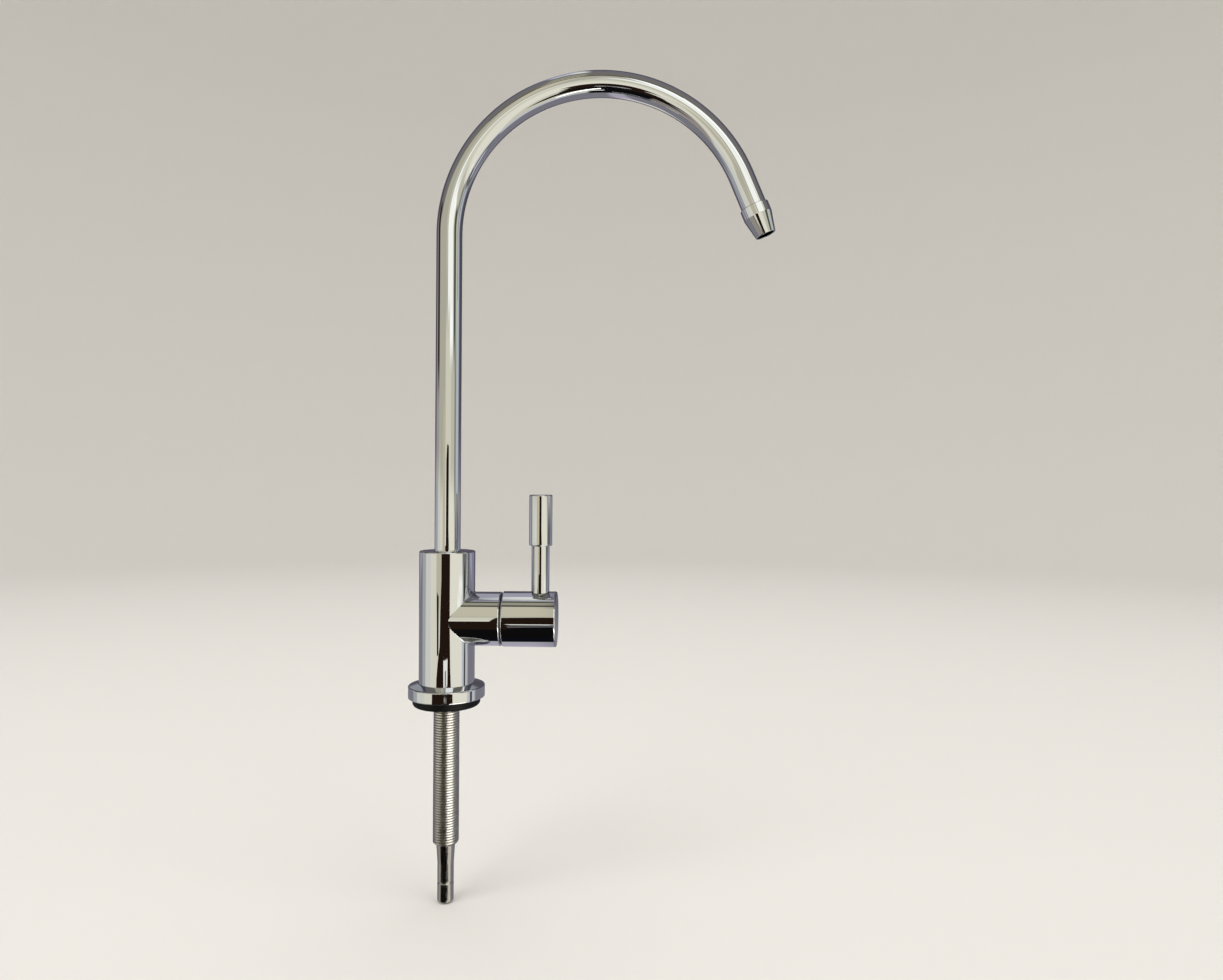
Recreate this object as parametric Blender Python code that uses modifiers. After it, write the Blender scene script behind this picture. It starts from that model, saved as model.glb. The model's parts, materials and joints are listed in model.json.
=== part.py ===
"""Deck-mounted drinking water faucet with a swivelling gooseneck and a quarter-turn side handle.

Metres, +Z up. The origin lies on the riser's axis in the deck plane, under the rubber gasket.
The side arm and the spout both reach along +X. Run with: blender --background --python part.py
"""

import math

import bmesh
import bpy
from mathutils import Matrix, Vector

MM = 0.001

# Clearances between mating pieces
SEAT_GAP = 0.3 * MM
RUNNING_GAP = 0.25 * MM
SEAL_GAP = 0.12 * MM

# Body casting: an upright cylinder with a side arm of its own diameter
BODY_DIAMETER = 21.5 * MM
BODY_TOP_ROUND = 0.5 * MM
BODY_FOOT_CHAMFER = 0.3 * MM
ARM_HEIGHT = 33.5 * MM
BODY_ABOVE_ARM = 26.5 * MM
ARM_DIAMETER = 21.5 * MM
ARM_LENGTH = 21.4 * MM
ARM_EDGE_CHAMFER = 0.5 * MM
CROSS_PORT_RADIUS = 2.5 * MM
INLET_PORT_RADIUS = 2.25 * MM
OUTLET_PORT_RADIUS = 1.8 * MM
OUTLET_PORT_START = 2.1 * MM
OUTLET_PORT_REACH = 3.15 * MM

# Base ring, with a recess above for the body and one below for the gasket
RING_DIAMETER = 29.5 * MM
RING_RIM_HEIGHT = 4.5 * MM
RING_CROWN_RISE = 1.1 * MM
RING_EDGE_ROUND = 0.5 * MM
BODY_SEAT_DEPTH = 0.7 * MM

# Base gasket, mostly hidden in the ring
GASKET_DIAMETER = 26.0 * MM
GASKET_DROP = 3.3 * MM
GASKET_RECESS = 1.5 * MM
GASKET_LOWER_ROUND = 1.4 * MM

# Shank: thread, tapered neck and plain stem in one turned piece
SHANK_DIAMETER = 10.0 * MM
SHANK_BELOW_DECK = 53.9 * MM
SHANK_CHAMFER = 0.9 * MM
SHANK_ENGAGEMENT = 10.8 * MM
SHANK_BORE_RADIUS = 2.0 * MM
NECK_DIAMETER = 7.3 * MM
NECK_LENGTH = 7.2 * MM
STEM_DIAMETER = 6.35 * MM
STEM_LENGTH = 15.0 * MM
STEM_END_ROUND = 0.5 * MM
STEM_GROOVE_ABOVE_END = 7.5 * MM
STEM_GROOVE_WIDTH = 0.9 * MM
STEM_GROOVE_DEPTH = 0.3 * MM
SHANK_SEAL_SECTION = 1.6 * MM

# Gooseneck tube
TUBE_DIAMETER = 10.0 * MM
TUBE_WALL = 0.8 * MM
TUBE_INSERTION = 7.7 * MM
BEND_RADIUS = 59.3 * MM
BEND_CENTRE_HEIGHT = 183.0 * MM
BEND_SWEEP = math.radians(157)
TUBE_TAIL = 16.3 * MM

# Spout tip: a socket for the tube, then a cone with a thin-walled mouth
TIP_DIAMETER = 11.3 * MM
TIP_MOUTH_DIAMETER = 7.9 * MM
TIP_BAND_LENGTH = 4.1 * MM
TIP_CONE_LENGTH = 7.9 * MM
TIP_MOUTH_WALL = 0.5 * MM
TIP_SOCKET_GAP = 0.12 * MM
TIP_SOCKET_DEPTH = 4.0 * MM
TIP_EDGE_ROUND = 0.25 * MM

# Ferrule under the tube, with its two seals and its clip
FERRULE_END_LAND = 1.0 * MM
FERRULE_LAND = 0.8 * MM
FERRULE_TOP_LAND = 0.6 * MM
FERRULE_SEAL_GROOVE = 1.5 * MM
FERRULE_SPIGOT_LENGTH = 6.2 * MM
FERRULE_BORE_RADIUS = 2.9 * MM
FERRULE_SEAL_SECTION = 1.1 * MM
CLIP_THICKNESS = 0.6 * MM
CLIP_GROOVE = 0.9 * MM
CLIP_BITE = 0.7 * MM
CLIP_REACH = 0.75 * MM
CLIP_OPENING = math.radians(50.0)
THRUST_WASHER_THICKNESS = 0.8 * MM
THRUST_WASHER_WIDTH = 1.4 * MM

# Quarter-turn cartridge, from the chamber floor outwards
DISC_DIAMETER = 10.0 * MM
SEAT_SEAL_THICKNESS = 2.2 * MM
SEAT_SEAL_WIDTH = 1.8 * MM
FIXED_DISC_THICKNESS = 2.4 * MM
MOVING_DISC_THICKNESS = 2.6 * MM
DISC_GAP = 0.15 * MM
DISC_PORT_INNER = 1.7 * MM
DISC_PORT_RIM = 0.8 * MM
DISC_PORT_SPREAD = math.radians(66.0)
DRIVE_SLOT_WIDTH = 2.4 * MM
DRIVE_SLOT_DEPTH = 1.3 * MM
DRIVE_BAR_WIDTH = 3.4 * MM
DRIVE_BAR_THICKNESS = 2.3 * MM
COLLAR_THICKNESS = 1.4 * MM
FRICTION_WASHER_THICKNESS = 0.8 * MM
HOUSING_WALL = 0.9 * MM
HOUSING_THREAD_STEP = 0.5 * MM
HOUSING_LIP = 0.9 * MM
HOUSING_GUIDE = 4.95 * MM
HOUSING_FLANGE = 1.05 * MM
HOUSING_FLANGE_OVERHANG = 1.3 * MM
HOUSING_HEX_HEIGHT = 2.6 * MM
HOUSING_HEX_STEP = 0.2 * MM
HOUSING_NECK_HEIGHT = 1.5 * MM
HOUSING_NECK_WALL = 1.95 * MM
HOUSING_WINDOW_WIDTH = 5.0 * MM
HOUSING_SEAL_SECTION = 1.0 * MM
HOUSING_SEAL_GROOVE = 1.5 * MM

# Spindle and what rides on it
SPINDLE_DIAMETER = 6.0 * MM
SPINDLE_SEAL_SECTION = 0.9 * MM
SPINDLE_SEAL_GROOVE = 1.3 * MM
SPINDLE_SEAL_SPACING = 3.0 * MM
SPINDLE_TO_FIRST_GROOVE = 1.4 * MM
CIRCLIP_THICKNESS = 0.6 * MM
CIRCLIP_GROOVE = 0.9 * MM
CIRCLIP_BITE = 0.5 * MM
CIRCLIP_WIDTH = 1.8 * MM
SPLINE_TEETH = 12
SPLINE_DEPTH = 0.45 * MM
SPLINE_RELIEF = 0.1 * MM
SPLINE_START = 1.3 * MM
LEVER_WAIST_DEPTH = 0.9 * MM
LEVER_WAIST_WIDTH = 4.0 * MM

# Handle barrel: a shell over the cartridge with a splined hub
HANDLE_GAP = 0.5 * MM
BARREL_LENGTH = 20.9 * MM
BARREL_RIM_CHAMFER = 0.6 * MM
BARREL_MOUTH_CHAMFER = 0.4 * MM
BARREL_END_WALL = 2.2 * MM
BARREL_HEADROOM = 0.95 * MM
HUB_WALL = 2.8 * MM
HUB_STANDOFF = 2.6 * MM
HUB_FLOOR = 0.9 * MM
GLIDE_RING_RECESS = 0.5 * MM
GLIDE_RING_WIDTH = 1.25 * MM
GLIDE_RING_PLAY = 0.15 * MM

# Lever: grip, rod and threaded end in one turned piece
LEVER_INSET = 6.5 * MM
LEVER_RISE = 48.5 * MM
GRIP_DIAMETER = 9.0 * MM
GRIP_LENGTH = 19.9 * MM
GRIP_TOP_ROUND = 0.5 * MM
GRIP_LOWER_ROUND = 1.0 * MM
LEVER_ROD_DIAMETER = 7.0 * MM
LEVER_SCREW_DIAMETER = 4.0 * MM
LEVER_BOSS_WALL = 1.3 * MM
LEVER_SEAT_DEPTH = 0.85 * MM

# Facets round each kind of piece
WIDE_STEPS = 40
BORE_STEPS = 24
SMALL_STEPS = 20
TUBE_RESOLUTION = 8
BEND_STEPS = 28
ARC_STEPS = 3
RING_MAJOR_STEPS = 20
RING_MINOR_STEPS = 6
OVERRUN = 1.0 * MM

COLOURS = {
    "chrome": ((0.80, 0.79, 0.76), 1.0, 0.06),
    "brass": ((0.78, 0.60, 0.30), 1.0, 0.30),
    "nickel": ((0.62, 0.60, 0.56), 1.0, 0.25),
    "steel": ((0.55, 0.55, 0.56), 1.0, 0.35),
    "ceramic": ((0.92, 0.91, 0.88), 0.0, 0.20),
    "rubber": ((0.015, 0.015, 0.016), 0.0, 0.60),
    "nylon": ((0.06, 0.06, 0.065), 0.0, 0.45),
}

# Places that follow from the sizes above
BODY_RADIUS = BODY_DIAMETER / 2
BODY_TOP = ARM_HEIGHT + BODY_ABOVE_ARM
ARM_RADIUS = ARM_DIAMETER / 2
SHANK_RADIUS = SHANK_DIAMETER / 2
TUBE_RADIUS = TUBE_DIAMETER / 2
SPINDLE_RADIUS = SPINDLE_DIAMETER / 2
DISC_RADIUS = DISC_DIAMETER / 2

RING_BOTTOM = GASKET_DROP
RING_RIM_TOP = RING_BOTTOM + RING_RIM_HEIGHT
RING_CROWN = RING_RIM_TOP + RING_CROWN_RISE
BODY_BOTTOM = RING_CROWN - BODY_SEAT_DEPTH + SEAT_GAP
SHANK_HOLE_RADIUS = SHANK_RADIUS + SEAT_GAP
SHANK_TOP = BODY_BOTTOM + SHANK_ENGAGEMENT
SHANK_SOCKET_TOP = SHANK_TOP + SHANK_SEAL_SECTION + 2 * SEAT_GAP

FERRULE_LENGTH = (FERRULE_END_LAND + 2 * FERRULE_SEAL_GROOVE + 2 * FERRULE_LAND
                  + CLIP_GROOVE + FERRULE_TOP_LAND)
TUBE_FOOT = BODY_TOP - TUBE_INSERTION
FERRULE_TOP = TUBE_FOOT - SEAT_GAP
FERRULE_BOTTOM = FERRULE_TOP - FERRULE_LENGTH
LOWER_SEAL_GROOVE = FERRULE_BOTTOM + FERRULE_END_LAND
UPPER_SEAL_GROOVE = LOWER_SEAL_GROOVE + FERRULE_SEAL_GROOVE + FERRULE_LAND
CLIP_GROOVE_FOOT = UPPER_SEAL_GROOVE + FERRULE_SEAL_GROOVE + FERRULE_LAND
THRUST_WASHER_FOOT = FERRULE_BOTTOM - SEAT_GAP - THRUST_WASHER_THICKNESS
SOCKET_FLOOR = THRUST_WASHER_FOOT - SEAT_GAP
SOCKET_RADIUS = TUBE_RADIUS + SEAT_GAP
SEAL_GROOVE_RADIUS = SOCKET_RADIUS - FERRULE_SEAL_SECTION - 2 * SEAL_GAP
CLIP_INNER = TUBE_RADIUS - CLIP_BITE + SEAL_GAP
CLIP_OUTER = SOCKET_RADIUS + CLIP_REACH

CAVITY_RADIUS = DISC_RADIUS + SEAT_GAP
WAIST_RADIUS = CAVITY_RADIUS + HOUSING_WALL
THREAD_RADIUS = WAIST_RADIUS + HOUSING_THREAD_STEP
CHAMBER_RADIUS = THREAD_RADIUS + SEAT_GAP
FLANGE_RADIUS = CHAMBER_RADIUS + HOUSING_FLANGE_OVERHANG
FLANGE_UNDERSIDE = ARM_LENGTH - GLIDE_RING_RECESS + RUNNING_GAP
HOUSING_SHOULDER = FLANGE_UNDERSIDE - HOUSING_GUIDE
FRICTION_WASHER_TOP = HOUSING_SHOULDER - RUNNING_GAP
COLLAR_TOP = FRICTION_WASHER_TOP - FRICTION_WASHER_THICKNESS - RUNNING_GAP
BAR_TOP = COLLAR_TOP - COLLAR_THICKNESS
BAR_FOOT = BAR_TOP - DRIVE_BAR_THICKNESS
MOVING_DISC_TOP = BAR_FOOT - SEAT_GAP
MOVING_DISC_FOOT = MOVING_DISC_TOP - MOVING_DISC_THICKNESS
FIXED_DISC_TOP = MOVING_DISC_FOOT - DISC_GAP
FIXED_DISC_FOOT = FIXED_DISC_TOP - FIXED_DISC_THICKNESS
SEAT_SEAL_TOP = FIXED_DISC_FOOT - SEAT_GAP
SEAT_SEAL_FOOT = SEAT_SEAL_TOP - SEAT_SEAL_THICKNESS
CHAMBER_FLOOR = SEAT_SEAL_FOOT - SEAT_GAP
HOUSING_FOOT = CHAMBER_FLOOR + HOUSING_LIP
HEX_FOOT = FLANGE_UNDERSIDE + HOUSING_FLANGE
HEX_TOP = HEX_FOOT + HOUSING_HEX_HEIGHT
NECK_TOP = HEX_TOP + HOUSING_NECK_HEIGHT
GUIDE_RADIUS = SPINDLE_RADIUS + RUNNING_GAP
SPINDLE_GROOVE_RADIUS = GUIDE_RADIUS - SPINDLE_SEAL_SECTION - 2 * SEAL_GAP
FIRST_SPINDLE_GROOVE = HOUSING_SHOULDER + SPINDLE_TO_FIRST_GROOVE
SECOND_SPINDLE_GROOVE = FIRST_SPINDLE_GROOVE + SPINDLE_SEAL_SPACING
HOUSING_GROOVE_RADIUS = CHAMBER_RADIUS - HOUSING_SEAL_SECTION - 2 * SEAL_GAP
HOUSING_GROOVE_TOP = FLANGE_UNDERSIDE - HOUSING_FLANGE
HOUSING_GROOVE_FOOT = HOUSING_GROOVE_TOP - HOUSING_SEAL_GROOVE
CIRCLIP_GROOVE_FOOT = NECK_TOP + RUNNING_GAP
CIRCLIP_INNER = SPINDLE_RADIUS - CIRCLIP_BITE + SEAL_GAP

GLIDE_RING_INNER = FLANGE_RADIUS + SEAT_GAP
GLIDE_RING_OUTER = GLIDE_RING_INNER + GLIDE_RING_WIDTH
BARREL_START = ARM_LENGTH + HANDLE_GAP
BARREL_END = BARREL_START + BARREL_LENGTH
BARREL_BORE = FLANGE_RADIUS + BARREL_HEADROOM
BARREL_CAVITY_END = BARREL_END - BARREL_END_WALL
HUB_START = NECK_TOP + HUB_STANDOFF
HUB_RADIUS = SPINDLE_RADIUS + RUNNING_GAP + HUB_WALL
SPLINE_BORE_END = BARREL_CAVITY_END - HUB_FLOOR
SPINDLE_END = SPLINE_BORE_END - SEAT_GAP
SPLINE_TIP = SPINDLE_RADIUS - SPLINE_RELIEF
SPLINE_ROOT = SPLINE_TIP - SPLINE_DEPTH
SPLINE_FOOT = NECK_TOP + SPLINE_START
LEVER_X = BARREL_END - LEVER_INSET
LEVER_SCREW_RADIUS = LEVER_SCREW_DIAMETER / 2
LEVER_HOLE_RADIUS = LEVER_SCREW_RADIUS + SEAT_GAP
LEVER_SEAT_RADIUS = LEVER_ROD_DIAMETER / 2 + RUNNING_GAP
LEVER_SEAT = ARM_RADIUS - LEVER_SEAT_DEPTH
LEVER_TOP = ARM_HEIGHT + LEVER_RISE
WAIST_FLOOR = SPINDLE_RADIUS - LEVER_WAIST_DEPTH


def collection(name):
    """Return a new collection linked to the scene."""
    group = bpy.data.collections.new(name)
    bpy.context.scene.collection.children.link(group)
    return group


def clear_scene():
    """Remove every object that the scene starts with."""
    for obj in list(bpy.data.objects):
        bpy.data.objects.remove(obj, do_unlink=True)


def finish(name, kind):
    """Return a Principled material of one kind, named for its piece."""
    colour, metallic, roughness = COLOURS[kind]
    material = bpy.data.materials.new(f"{name}_{kind}")
    material.use_nodes = True
    shader = material.node_tree.nodes["Principled BSDF"]
    shader.inputs["Base Color"].default_value = (*colour, 1.0)
    shader.inputs["Metallic"].default_value = metallic
    shader.inputs["Roughness"].default_value = roughness
    return material


class Shop:
    """Collects the pieces and the cutters, and the axes that carry the moving pieces."""

    def __init__(self):
        self.pieces = collection("drinking_water_faucet")
        self.tools = collection("cutters")
        self.handle_axis = self.axis("handle_axis", (0, 0, ARM_HEIGHT))
        self.spout_axis = self.axis("spout_axis", (0, 0, BODY_TOP))

    def axis(self, name, place):
        """Add an empty on a joint's axis."""
        empty = bpy.data.objects.new(name, None)
        empty.location = place
        self.pieces.objects.link(empty)
        return empty

    def add(self, obj, kind=None, carrier=None):
        """File an object as a piece of one kind, or as a cutter, on what carries it."""
        for group in list(obj.users_collection):
            group.objects.unlink(obj)
        if kind is None:
            self.tools.objects.link(obj)
            obj.hide_render = True
            obj.display_type = "WIRE"
        else:
            self.pieces.objects.link(obj)
            obj.data.materials.append(finish(obj.name, kind))
        if carrier is not None:
            obj.location = Vector(obj.location) - carrier.location
            obj.parent = carrier
        return obj


def round_off(centre_r, centre_z, radius, start, end):
    """Return the points of an arc in a turned profile, angles in degrees from +R towards +Z."""
    turn = [math.radians(start + (end - start) * i / ARC_STEPS) for i in range(ARC_STEPS + 1)]
    return [(centre_r + radius * math.cos(a), centre_z + radius * math.sin(a)) for a in turn]


def turned(name, profile, steps, ring=False, along_x=False):
    """Turn a profile of (radius, height) about Z, or about the arm's axis with height along +X."""
    mesh = bpy.data.meshes.new(name)
    count = len(profile)
    links = [(i, i + 1) for i in range(count - 1)]
    if ring:
        links.append((count - 1, 0))
    mesh.from_pydata([(r, 0, z) for r, z in profile], links, [])
    obj = bpy.data.objects.new(name, mesh)
    screw = obj.modifiers.new("turn", "SCREW")
    screw.axis = "Z"
    screw.angle = 2 * math.pi
    screw.steps = steps
    screw.render_steps = steps
    screw.use_merge_vertices = True
    screw.merge_threshold = 1e-7
    screw.use_smooth_shade = True
    if along_x:
        obj.rotation_euler = (0, math.pi / 2, 0)
        obj.location = (0, 0, ARM_HEIGHT)
    return obj


def ring_profile(inner, outer, foot, top):
    """Return the closed profile of a plain ring."""
    return [(outer, top), (outer, foot), (inner, foot), (inner, top)]


def seal_ring(name, centre_radius, section, height, along_x=False):
    """Return a torus about Z, or about the arm's axis."""
    bpy.ops.mesh.primitive_torus_add(
        major_radius=centre_radius, minor_radius=section / 2,
        major_segments=RING_MAJOR_STEPS, minor_segments=RING_MINOR_STEPS)
    obj = bpy.context.object
    obj.name = name
    obj.location = (0, 0, height)
    if along_x:
        obj.rotation_euler = (0, math.pi / 2, 0)
        obj.location = (height, 0, ARM_HEIGHT)
    obj.data.shade_smooth()
    return obj


def cylinder(name, radius, start, end, steps):
    """Return a cylinder between two points."""
    start, end = Vector(start), Vector(end)
    run = end - start
    bpy.ops.mesh.primitive_cylinder_add(radius=radius, depth=run.length, vertices=steps)
    obj = bpy.context.object
    obj.name = name
    obj.location = (start + end) / 2
    obj.rotation_mode = "QUATERNION"
    obj.rotation_quaternion = run.to_track_quat("Z", "Y")
    return obj


def box(name, low, high):
    """Return a box between two corners, as a primitive with its size in its mesh."""
    low, high = Vector(low), Vector(high)
    bpy.ops.mesh.primitive_cube_add(size=1)
    obj = bpy.context.object
    obj.name = name
    size = high - low
    obj.data.transform(Matrix.Diagonal((*size, 1)))
    obj.location = (low + high) / 2
    return obj


def plain_mesh(obj):
    """Turn a curve object into a welded mesh object of the same name and place."""
    name = obj.name
    bpy.context.scene.collection.objects.link(obj)
    bpy.context.view_layer.update()
    shape = obj.evaluated_get(bpy.context.evaluated_depsgraph_get())
    mesh = bpy.data.meshes.new_from_object(shape)
    work = bmesh.new()
    work.from_mesh(mesh)
    bmesh.ops.remove_doubles(work, verts=work.verts, dist=1e-7)
    work.to_mesh(mesh)
    work.free()
    place = obj.matrix_world.copy()
    bpy.data.objects.remove(obj, do_unlink=True)
    solid = bpy.data.objects.new(name, mesh)
    solid.matrix_world = place
    return solid


def plate(name, outlines, foot, top):
    """Extrude flat outlines, drawn round the arm's axis, from one distance along +X to another."""
    curve = bpy.data.curves.new(name, "CURVE")
    curve.dimensions = "2D"
    curve.fill_mode = "BOTH"
    curve.extrude = (top - foot) / 2
    for outline in outlines:
        spline = curve.splines.new("POLY")
        spline.points.add(len(outline) - 1)
        for point, (x, y) in zip(spline.points, outline):
            point.co = (x, y, 0, 1)
        spline.use_cyclic_u = True
    obj = bpy.data.objects.new(name, curve)
    obj.rotation_euler = (0, math.pi / 2, 0)
    obj.location = ((foot + top) / 2, 0, ARM_HEIGHT)
    return plain_mesh(obj)


def split_ring(inner, outer, opening):
    """Return the outline of a ring that is open over one angle, centred on +X."""
    spans = SMALL_STEPS
    angles = [opening / 2 + (2 * math.pi - opening) * i / spans for i in range(spans + 1)]
    outside = [(outer * math.cos(a), outer * math.sin(a)) for a in angles]
    inside = [(inner * math.cos(a), inner * math.sin(a)) for a in reversed(angles)]
    return outside + inside


def sector(inner, outer, middle, spread):
    """Return the outline of one sector-shaped port."""
    spans = 2 * ARC_STEPS
    angles = [middle - spread / 2 + spread * i / spans for i in range(spans + 1)]
    outside = [(outer * math.cos(a), outer * math.sin(a)) for a in angles]
    inside = [(inner * math.cos(a), inner * math.sin(a)) for a in reversed(angles)]
    return outside + inside


def spline_outline(tip, root):
    """Return the star outline of a splined shaft or bore."""
    count = 2 * SPLINE_TEETH
    radii = (tip, root)
    turn = [(radii[i % 2], 2 * math.pi * i / count) for i in range(count)]
    return [(r * math.cos(a), r * math.sin(a)) for r, a in turn]


def combine(target, tool, operation):
    """Add an exact Boolean of a tool to a piece."""
    step = target.modifiers.new(tool.name, "BOOLEAN")
    step.operation = operation
    step.object = tool
    step.solver = "EXACT"


def cut(shop, target, *tools):
    """Cut tools out of a piece and file them as cutters."""
    for tool in tools:
        shop.add(tool, carrier=target.parent)
        combine(target, tool, "DIFFERENCE")


def join(shop, target, *tools):
    """Join tools to a piece and file them as cutters."""
    for tool in tools:
        shop.add(tool, carrier=target.parent)
        combine(target, tool, "UNION")


def soften(obj, angle=30.0):
    """Shade a mesh smooth with sharp edges kept past an angle."""
    obj.data.shade_smooth()
    obj.data.set_sharp_from_angle(angle=math.radians(angle))


def build_body(shop):
    """The casting: upright cylinder and side arm, with sockets, chamber and water ways."""
    edge = BODY_RADIUS - BODY_TOP_ROUND
    profile = [(0, BODY_TOP)]
    profile += round_off(edge, BODY_TOP - BODY_TOP_ROUND, BODY_TOP_ROUND, 90, 0)
    profile += [(BODY_RADIUS, BODY_BOTTOM + BODY_FOOT_CHAMFER),
                (BODY_RADIUS - BODY_FOOT_CHAMFER, BODY_BOTTOM), (0, BODY_BOTTOM)]
    body = shop.add(turned("body", profile, WIDE_STEPS), "chrome")

    arm = [(0, ARM_LENGTH), (ARM_RADIUS - ARM_EDGE_CHAMFER, ARM_LENGTH),
           (ARM_RADIUS, ARM_LENGTH - ARM_EDGE_CHAMFER), (ARM_RADIUS, 0), (0, 0)]
    join(shop, body, turned("body_arm", arm, WIDE_STEPS, along_x=True))

    inlet_end = ARM_HEIGHT + INLET_PORT_RADIUS / 2
    below = [(0, inlet_end), (INLET_PORT_RADIUS, inlet_end),
             (INLET_PORT_RADIUS, SHANK_SOCKET_TOP), (SHANK_HOLE_RADIUS, SHANK_SOCKET_TOP),
             (SHANK_HOLE_RADIUS, BODY_BOTTOM - OVERRUN), (0, BODY_BOTTOM - OVERRUN)]

    clip_low = CLIP_GROOVE_FOOT - SEAL_GAP
    clip_high = CLIP_GROOVE_FOOT + CLIP_GROOVE + SEAL_GAP
    clip_wall = CLIP_OUTER + RUNNING_GAP
    above = [(0, BODY_TOP + OVERRUN), (SOCKET_RADIUS, BODY_TOP + OVERRUN),
             (SOCKET_RADIUS, clip_high), (clip_wall, clip_high), (clip_wall, clip_low),
             (SOCKET_RADIUS, clip_low), (SOCKET_RADIUS, SOCKET_FLOOR), (0, SOCKET_FLOOR)]

    recess_radius = GLIDE_RING_OUTER + GLIDE_RING_PLAY
    recess_floor = ARM_LENGTH - GLIDE_RING_RECESS
    cross_end = -INLET_PORT_RADIUS / 2
    side = [(0, ARM_LENGTH + OVERRUN), (recess_radius, ARM_LENGTH + OVERRUN),
            (recess_radius, recess_floor), (CHAMBER_RADIUS, recess_floor),
            (CHAMBER_RADIUS, CHAMBER_FLOOR), (CROSS_PORT_RADIUS, CHAMBER_FLOOR),
            (CROSS_PORT_RADIUS, cross_end), (0, cross_end)]

    port_start = Vector((OUTLET_PORT_START, 0, SOCKET_FLOOR))
    port_end = Vector((CHAMBER_FLOOR + OUTLET_PORT_REACH, 0, ARM_HEIGHT + CHAMBER_RADIUS))
    lead = (port_end - port_start).normalized() * OUTLET_PORT_RADIUS * 2
    cut(shop, body,
        turned("shank_socket_cut", below, BORE_STEPS),
        turned("spout_socket_cut", above, BORE_STEPS),
        turned("chamber_cut", side, BORE_STEPS, along_x=True),
        cylinder("outlet_port_cut", OUTLET_PORT_RADIUS, port_start - lead / 2, port_end + lead,
                 SMALL_STEPS))


def build_base(shop):
    """The chromed base ring and the rubber gasket that meets the deck."""
    rim = RING_DIAMETER / 2
    seat_wall = BODY_RADIUS + SEAT_GAP
    seat_floor = RING_CROWN - BODY_SEAT_DEPTH
    recess_wall = GASKET_DIAMETER / 2 + SEAT_GAP
    recess_top = RING_BOTTOM + GASKET_RECESS
    ring = [(seat_wall, RING_CROWN)]
    ring += round_off(rim - RING_EDGE_ROUND, RING_RIM_TOP - RING_EDGE_ROUND, RING_EDGE_ROUND, 75, 0)
    ring += [(rim, RING_BOTTOM + RING_EDGE_ROUND / 2), (rim - RING_EDGE_ROUND / 2, RING_BOTTOM),
             (recess_wall, RING_BOTTOM), (recess_wall, recess_top),
             (SHANK_HOLE_RADIUS, recess_top), (SHANK_HOLE_RADIUS, seat_floor),
             (seat_wall, seat_floor)]
    shop.add(turned("base_ring", ring, WIDE_STEPS, ring=True), "chrome")

    outer = GASKET_DIAMETER / 2
    gasket = [(outer, recess_top - SEAT_GAP)]
    gasket += round_off(outer - GASKET_LOWER_ROUND, GASKET_LOWER_ROUND, GASKET_LOWER_ROUND, 0, -90)
    gasket += [(SHANK_HOLE_RADIUS, 0), (SHANK_HOLE_RADIUS, recess_top - SEAT_GAP)]
    shop.add(turned("base_gasket", gasket, WIDE_STEPS, ring=True), "rubber")


def build_shank(shop):
    """The hollow shank with its neck and stem, and the seal over its upper end."""
    stem = STEM_DIAMETER / 2
    thread_end = -SHANK_BELOW_DECK
    stem_top = thread_end - NECK_LENGTH
    stem_end = stem_top - STEM_LENGTH
    groove = stem_end + STEM_GROOVE_ABOVE_END
    groove_radius = stem - STEM_GROOVE_DEPTH
    chamfer = SHANK_RADIUS - SHANK_CHAMFER
    profile = [(chamfer, SHANK_TOP), (SHANK_RADIUS, SHANK_TOP - SHANK_CHAMFER),
               (SHANK_RADIUS, thread_end + SHANK_CHAMFER), (chamfer, thread_end),
               (NECK_DIAMETER / 2, thread_end), (stem, stem_top),
               (stem, groove + STEM_GROOVE_WIDTH / 2),
               (groove_radius, groove + STEM_GROOVE_WIDTH / 4),
               (groove_radius, groove - STEM_GROOVE_WIDTH / 4),
               (stem, groove - STEM_GROOVE_WIDTH / 2)]
    profile += round_off(stem - STEM_END_ROUND, stem_end + STEM_END_ROUND, STEM_END_ROUND, 0, -90)
    profile += [(SHANK_BORE_RADIUS, stem_end), (SHANK_BORE_RADIUS, SHANK_TOP)]
    shop.add(turned("shank", profile, BORE_STEPS, ring=True), "nickel")

    shop.add(seal_ring("shank_seal", (SHANK_BORE_RADIUS + SHANK_RADIUS) / 2 + SEAT_GAP,
                       SHANK_SEAL_SECTION, SHANK_TOP + SEAT_GAP + SHANK_SEAL_SECTION / 2), "rubber")


def tube_route():
    """Return the points of the gooseneck's centre line in the XZ plane, foot to end."""
    centre = Vector((BEND_RADIUS, 0, BEND_CENTRE_HEIGHT))
    route = [Vector((0, 0, TUBE_FOOT))]
    for i in range(BEND_STEPS + 1):
        angle = math.pi - BEND_SWEEP * i / BEND_STEPS
        route.append(centre + BEND_RADIUS * Vector((math.cos(angle), 0, math.sin(angle))))
    route.append(route[-1] + tail_direction() * TUBE_TAIL)
    return route


def tail_direction():
    """Return the direction in which the tube's straight end points."""
    end = math.pi - BEND_SWEEP
    return Vector((math.sin(end), 0, -math.cos(end)))


def build_spout(shop):
    """The bent tube, its tip, and the ferrule, seals, clip and washer in the body's socket."""
    curve = bpy.data.curves.new("spout_tube", "CURVE")
    curve.dimensions = "3D"
    curve.bevel_depth = TUBE_RADIUS
    curve.bevel_resolution = TUBE_RESOLUTION
    curve.use_fill_caps = False
    route = tube_route()
    line = curve.splines.new("POLY")
    line.points.add(len(route) - 1)
    for point, place in zip(line.points, route):
        point.co = (*place, 1)
    tube = plain_mesh(bpy.data.objects.new("spout_tube", curve))
    wall = tube.modifiers.new("wall", "SOLIDIFY")
    wall.thickness = TUBE_WALL
    wall.offset = -1
    wall.use_even_offset = True
    soften(tube, 40)
    shop.add(tube, "chrome", shop.spout_axis)

    build_tip(shop, route[-1])
    build_ferrule(shop)


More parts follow.
